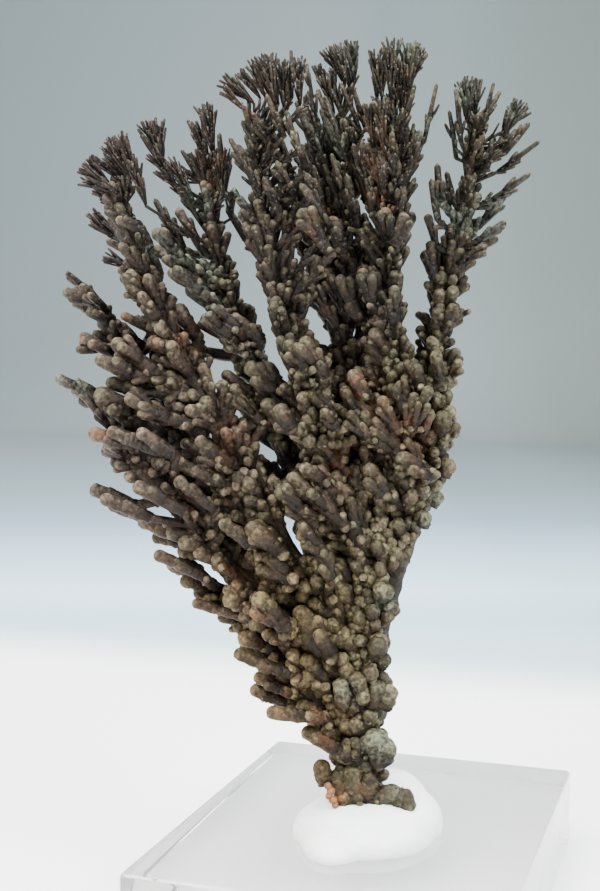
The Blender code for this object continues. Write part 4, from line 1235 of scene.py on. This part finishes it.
def beside(line, x, y):
    """The point of a stem that is nearest to a place seen in the frame."""
    guess = sighted(x, y, 0.0)
    return min(line, key=lambda point: abs(point.x - guess.x) + abs(point.z - guess.z))


def twig_root(line, tip, run):
    """Where on the stem a twig to this tip leaves it: back from the nearest point by its reach."""
    nearest = min(range(len(line)), key=lambda index: (line[index] - tip).length)
    back = round((line[nearest] - tip).length * run)
    return line[max(nearest - back, 1)]


def joined(growth, line, root, radius):
    """The stalk by which a finger or frond hangs on the stem, dressed where it is long."""
    start = twig_root(line, root, STALK_BACK)
    growth.finger(start, root, radius * STALK_WIDTH, bow=SHOOT_BOW, level=STALK_LEVEL)
    if (root - start).length > LONG_STALK:
        dress(growth, start, root, radius, STALK_DRESS)


def placed(row, node, depth, order):
    """A row of (tip, root, radius) in the frame as points, at its own depth about the stem."""
    tip_x, tip_y, root_x, root_y, radius = row
    nearest = beside(STEMS[node], root_x, root_y)
    turn = GOLDEN_ANGLE * order
    root = sighted(root_x, root_y, nearest.y + depth[0] + depth[1] * math.sin(turn))
    tip = sighted(tip_x, tip_y, root.y + depth[1] * TIP_SWAY[0] * math.sin(turn + TIP_SWAY[1]))
    return root, tip, radius * at_height(tip.z, SLENDER)


def carrier(root, own):
    """The branch that a finger hangs on: the nearest whose stalk doesn't cross open air."""
    def cost(node):
        start = twig_root(STEMS[node], root, STALK_BACK)
        away = (root - start).length * (1.0 if node == own else OTHER_BRANCH)
        return away + (ACROSS_AIR if crosses_gap(start, root) else 0.0)
    return min(STEMS, key=cost)


# A crown twig: narrow pointed leaves clasped round a stalk, opened a little at the top.
FROND_STALK = (1.6, 0.30)
FROND_STALK_LEVEL = (0.0, 0.3)
LEAVES_PER_MM = 3.4
FROND_FLATNESS = 0.7
LEAVES_TO = 0.72
LEAF_OFF_AXIS = 0.12
LEAF_LENGTH = (1.6, 3.2)
LEAF_LENGTH_BY_WIDTH = (0.8, 0.3)
LEAF_LEAN = (0.14, 0.44)
LEAF_LEAN_BY_SHARE = (0.6, 0.7)
LEAF_BEYOND = 0.1
LEAF_WIDTH = (0.12, 0.21)
LEAF_LEVEL = (0.5, 1.0)


def frond(growth, root, end, width):
    draw = growth.draw
    axis = end - root
    heading = axis.normalized()
    side, front = frame_of(heading)
    stop = end - heading * FROND_STALK[0]
    growth.finger(root, stop, width * FROND_STALK[1], bow=SHOOT_BOW, level=FROND_STALK_LEVEL)
    count = round(axis.length * LEAVES_PER_MM)
    for order in range(count):
        share = order / count
        turn = GOLDEN_ANGLE * order
        outward = side * math.sin(turn) + front * math.cos(turn) * FROND_FLATNESS
        start = root + axis * share * LEAVES_TO + outward * width * LEAF_OFF_AXIS
        length = draw.uniform(*LEAF_LENGTH) * (LEAF_LENGTH_BY_WIDTH[0] + LEAF_LENGTH_BY_WIDTH[1] * width)
        lean = LEAF_LEAN_BY_SHARE[0] + LEAF_LEAN_BY_SHARE[1] * share
        course = (heading + outward * draw.uniform(*LEAF_LEAN) * lean).normalized()
        length = min(length, (end - start).dot(heading) + LEAF_BEYOND)
        growth.needle(start, start + course * length, draw.uniform(*LEAF_WIDTH), bow=TWIG_BOW,
                      level=(0.0, draw.uniform(*LEAF_LEVEL)))


# A single smooth finger with a few buds pressed to its sides.
ROUNDED_LEVEL = (0.05, 1.0)
BUDS_PER_MM = 0.7
FEWEST_BUDS = 2
BUDS_UP_TO = 0.55
BUD_OFF_AXIS = 0.4
BUD_REACH = (1.4, 2.6)
BUD_REACH_BY_WIDTH = (0.6, 0.5)
BUD_LEAN = (0.15, 0.45)
BUD_THICKNESS = (0.6, 0.85)
SIDE_BUD_LEVEL = (0.05, 0.9)


def rounded(growth, root, end, radius):
    draw = growth.draw
    axis = end - root
    heading = axis.normalized()
    side, front = frame_of(heading)
    grow = growth.slim(end)
    stop = end - heading * radius
    grow(root, stop, radius, bow=SHOOT_BOW, level=ROUNDED_LEVEL)
    for order in range(max(round(axis.length * BUDS_PER_MM), FEWEST_BUDS)):
        outward = around(side, front, GOLDEN_ANGLE * order + draw.random())
        start = root.lerp(stop, draw.uniform(0.0, BUDS_UP_TO)) + outward * radius * BUD_OFF_AXIS
        reach = draw.uniform(*BUD_REACH) * (BUD_REACH_BY_WIDTH[0] + BUD_REACH_BY_WIDTH[1] * radius)
        tip = start + (heading + outward * draw.uniform(*BUD_LEAN)).normalized() * reach
        thick = radius * draw.uniform(*BUD_THICKNESS)
        if not in_the_open(start, tip, thick):
            grow(start, tip, thick, bow=TWIG_BOW, level=SIDE_BUD_LEVEL)


# Small beads that sit on the lower parts of fingers and fill the hollows between them.
GRAINS_EACH = 12
GRAIN_PLACES = (0.1, 0.7)
GRAIN_SUNK = 0.9
GRAIN_WIDTH = (0.3, 0.6)
GRAIN_LEVEL = (0.15, 0.8)


def grains(growth, count):
    draw = growth.draw
    for _ in range(count):
        plan = draw.choice(growth.fingers)
        root, end, radius = Vector(plan[0:3]), Vector(plan[6:9]), plan[9]
        away = Vector([draw.gauss(0.0, 1.0) for _ in range(3)]).normalized()
        place = root.lerp(end, draw.uniform(*GRAIN_PLACES)) + away * radius * GRAIN_SUNK
        growth.bead(place, radius * draw.uniform(*GRAIN_WIDTH), level=GRAIN_LEVEL)


# A blunt shoot set with round-headed side fingers, which lie closer to it high in the crown.
SHOOT_WIDTH = 0.9
SHOOT_LEVEL = (0.0, 1.0)
SHOOT_DRESSED_FROM = 0.12
SHOOT_DRESS = ((0.82, 0.95, 2.2, (0.35, 0.8)), (0.82, 0.95, 2.6, (0.2, 0.45)))


def fingered(growth, root, end, radius):
    growth.finger(root, end, radius * SHOOT_WIDTH, bow=SHOOT_BOW, level=SHOOT_LEVEL)
    dress(growth, root.lerp(end, SHOOT_DRESSED_FROM), end, radius, SHOOT_DRESS[end.z >= ROUND_TOP])


# A long stout banded finger, uneven along its length, with short ones at its root.
SHAFT_LEVEL = (0.1, 1.0)
SWELLINGS = 2
SWELLING_ASIDE = (-0.25, 0.25)
SWELLING_FORWARD = (0.0, 0.3)
SWELLING_FROM = (0.1, 0.5)
SWELLING_RUN = 0.5
SWELLING_WIDTH = (0.8, 0.95)
SWELLING_LEVEL = (0.1, 0.85)
SHAFT_DRESS_TO = 0.3
SHAFT_DRESS = (0.7, 1.6, 1.8, (0.2, 0.4))


def smooth_shaft(growth, root, end, radius):
    draw = growth.draw
    heading = (end - root).normalized()
    side, front = frame_of(heading)
    stop = end - heading * radius
    growth.stout(root, stop, radius, bow=SHOOT_BOW, level=SHAFT_LEVEL)
    for _ in range(SWELLINGS):
        aside = (side * draw.uniform(*SWELLING_ASIDE) + front * draw.uniform(*SWELLING_FORWARD)) * radius
        start = root.lerp(stop, draw.uniform(*SWELLING_FROM)) + aside
        growth.stout(start, start.lerp(stop, SWELLING_RUN) + aside, radius * draw.uniform(*SWELLING_WIDTH),
                     bow=SHOOT_BOW, level=SWELLING_LEVEL)
    dress(growth, root, root.lerp(stop, SHAFT_DRESS_TO), radius, SHAFT_DRESS)


def rim_twigs(growth, line, tips):
    """Twigs to places on the fan's rim: long ones are fingered and short ones end in a bud."""
    for index, (x, y) in enumerate(tips):
        tip = sighted(x, y, beside(line, x, y).y + TWIG_SWAY * math.sin(GOLDEN_ANGLE * index))
        root = twig_root(line, tip, OUTER_TWIG_RUN if tip.x < OUTER_FROM else TWIG_RUN)
        radius = at_height(tip.z, FINGER_RADIUS)
        stop = tip - (tip - root).normalized() * radius
        if (tip - root).length > LONG_TWIG:
            fingered(growth, root, stop, radius)
        else:
            growth.finger(root, stop, radius * BUD_WIDTH[0], bow=SHOOT_BOW, level=BUD_LEVEL)
            growth.bead(stop, radius * BUD_WIDTH[1], level=BUD_HEAD_LEVEL)


def side_barbs(growth, plan, root, side, growing, radius):
    """A barb to each side of a stem, no longer than the open air beside it allows."""
    draw = growth.draw
    crowned = root.z > plan["barbs_to"]
    longest = CROWN_BARB if crowned else LONGEST_BARB
    for across, reaches in ((1.0, plan["right_reach"]), (-1.0, plan["left_reach"])):
        lean = at_height(root.z, BARB_LEAN) * plan.get("spread", 1.0) * draw.uniform(*BARB_LEANS)
        depth = draw.uniform(*BARB_DEPTHS)
        course = (growing + (side * across + TOWARDS * depth) * lean).normalized()
        length = min(at_height(root.z, reaches), longest) * draw.uniform(*BARB_LENGTHS)
        end = root + course * kept_clear(root, course, length, radius)
        if crowned:
            rounded(growth, root, end, radius * CROWN_BARB_WIDTH)
        elif "shafts" in plan:
            smooth_shaft(growth, root, end, radius)
        else:
            fingered(growth, root, end, radius)


def face_fingers(growth, plan, root, side, growing, radius):
    """Two fingers to the front of a stem and two to its back, each with its side fingers."""
    draw = growth.draw
    for face in FACES:
        lean = draw.uniform(*FACE_LEAN[root.z >= ROUND_TOP])
        slant = draw.uniform(*FACE_SLANT[root.x >= RIGHT_SIDE_FROM])
        course = (growing + (TOWARDS * face + side * slant) * lean).normalized()
        length = at_height(root.z, FACE_REACH) * draw.uniform(*FACE_LENGTHS)
        length *= FACE_SHORTER if "shafts" in plan else 1.0
        length = kept_clear(root, course, length, radius)
        end = root + course * length
        if in_the_open(root, end, radius):
            continue
        width = radius * draw.uniform(*FACE_WIDTHS)
        growth.slim(root)(root, end, width, bow=TWIG_BOW, level=FACE_LEVEL)
        dress(growth, root + course * FACE_DRESS_RUN[0], root + course * length * FACE_DRESS_RUN[1],
              radius, FACE_DRESS[root.z > ROUND_TOP])


STEMS = {node: smooth_run(plan["stem"], STEM_STRIDE) for node, plan in BRANCHES.items()}
STYLES = (
    ("fronds", FROND_DEPTHS, frond), ("fingers", FINGER_DEPTH, rounded),
    ("foremost", FOREMOST_DEPTH, rounded), ("shafts", SHAFT_DEPTH, smooth_shaft),
)
HUNG = {node: [] for node in BRANCHES}
for node, plan in BRANCHES.items():
    for style, depth, shape in STYLES:
        for index, row in enumerate(plan.get(style, [])):
            root, tip, radius = placed(row, node, depth, index)
            HUNG[carrier(root, node)].append((shape, root, tip, radius))

for order, (node, plan) in enumerate(BRANCHES.items()):
    growth = Growth(BRANCH_SEED + order)
    line = STEMS[node]
    bar(growth, line, plan["thickness"])
    for shape, root, tip, radius in HUNG[node]:
        joined(growth, line, root, radius * (FROND_STALK_WIDTH if shape is frond else 1.0))
        shape(growth, root, tip, radius)
    rim_twigs(growth, line, plan.get("tips", []))
    for index in range(BARBED_FROM, len(line) - 1, BARB_STEP):
        root = line[index]
        heading = heading_at(line, index)
        side = frame_of(heading)[0]
        growing = (heading - side * plan.get("sweep", 0.0)).normalized()
        radius = at_height(root.z, FINGER_RADIUS)
        side_barbs(growth, plan, root, side, growing, radius)
        face_fingers(growth, plan, root, side, growing, radius)
    grains(growth, len(line) * GRAINS_EACH)
    copper_piece(growth, node)
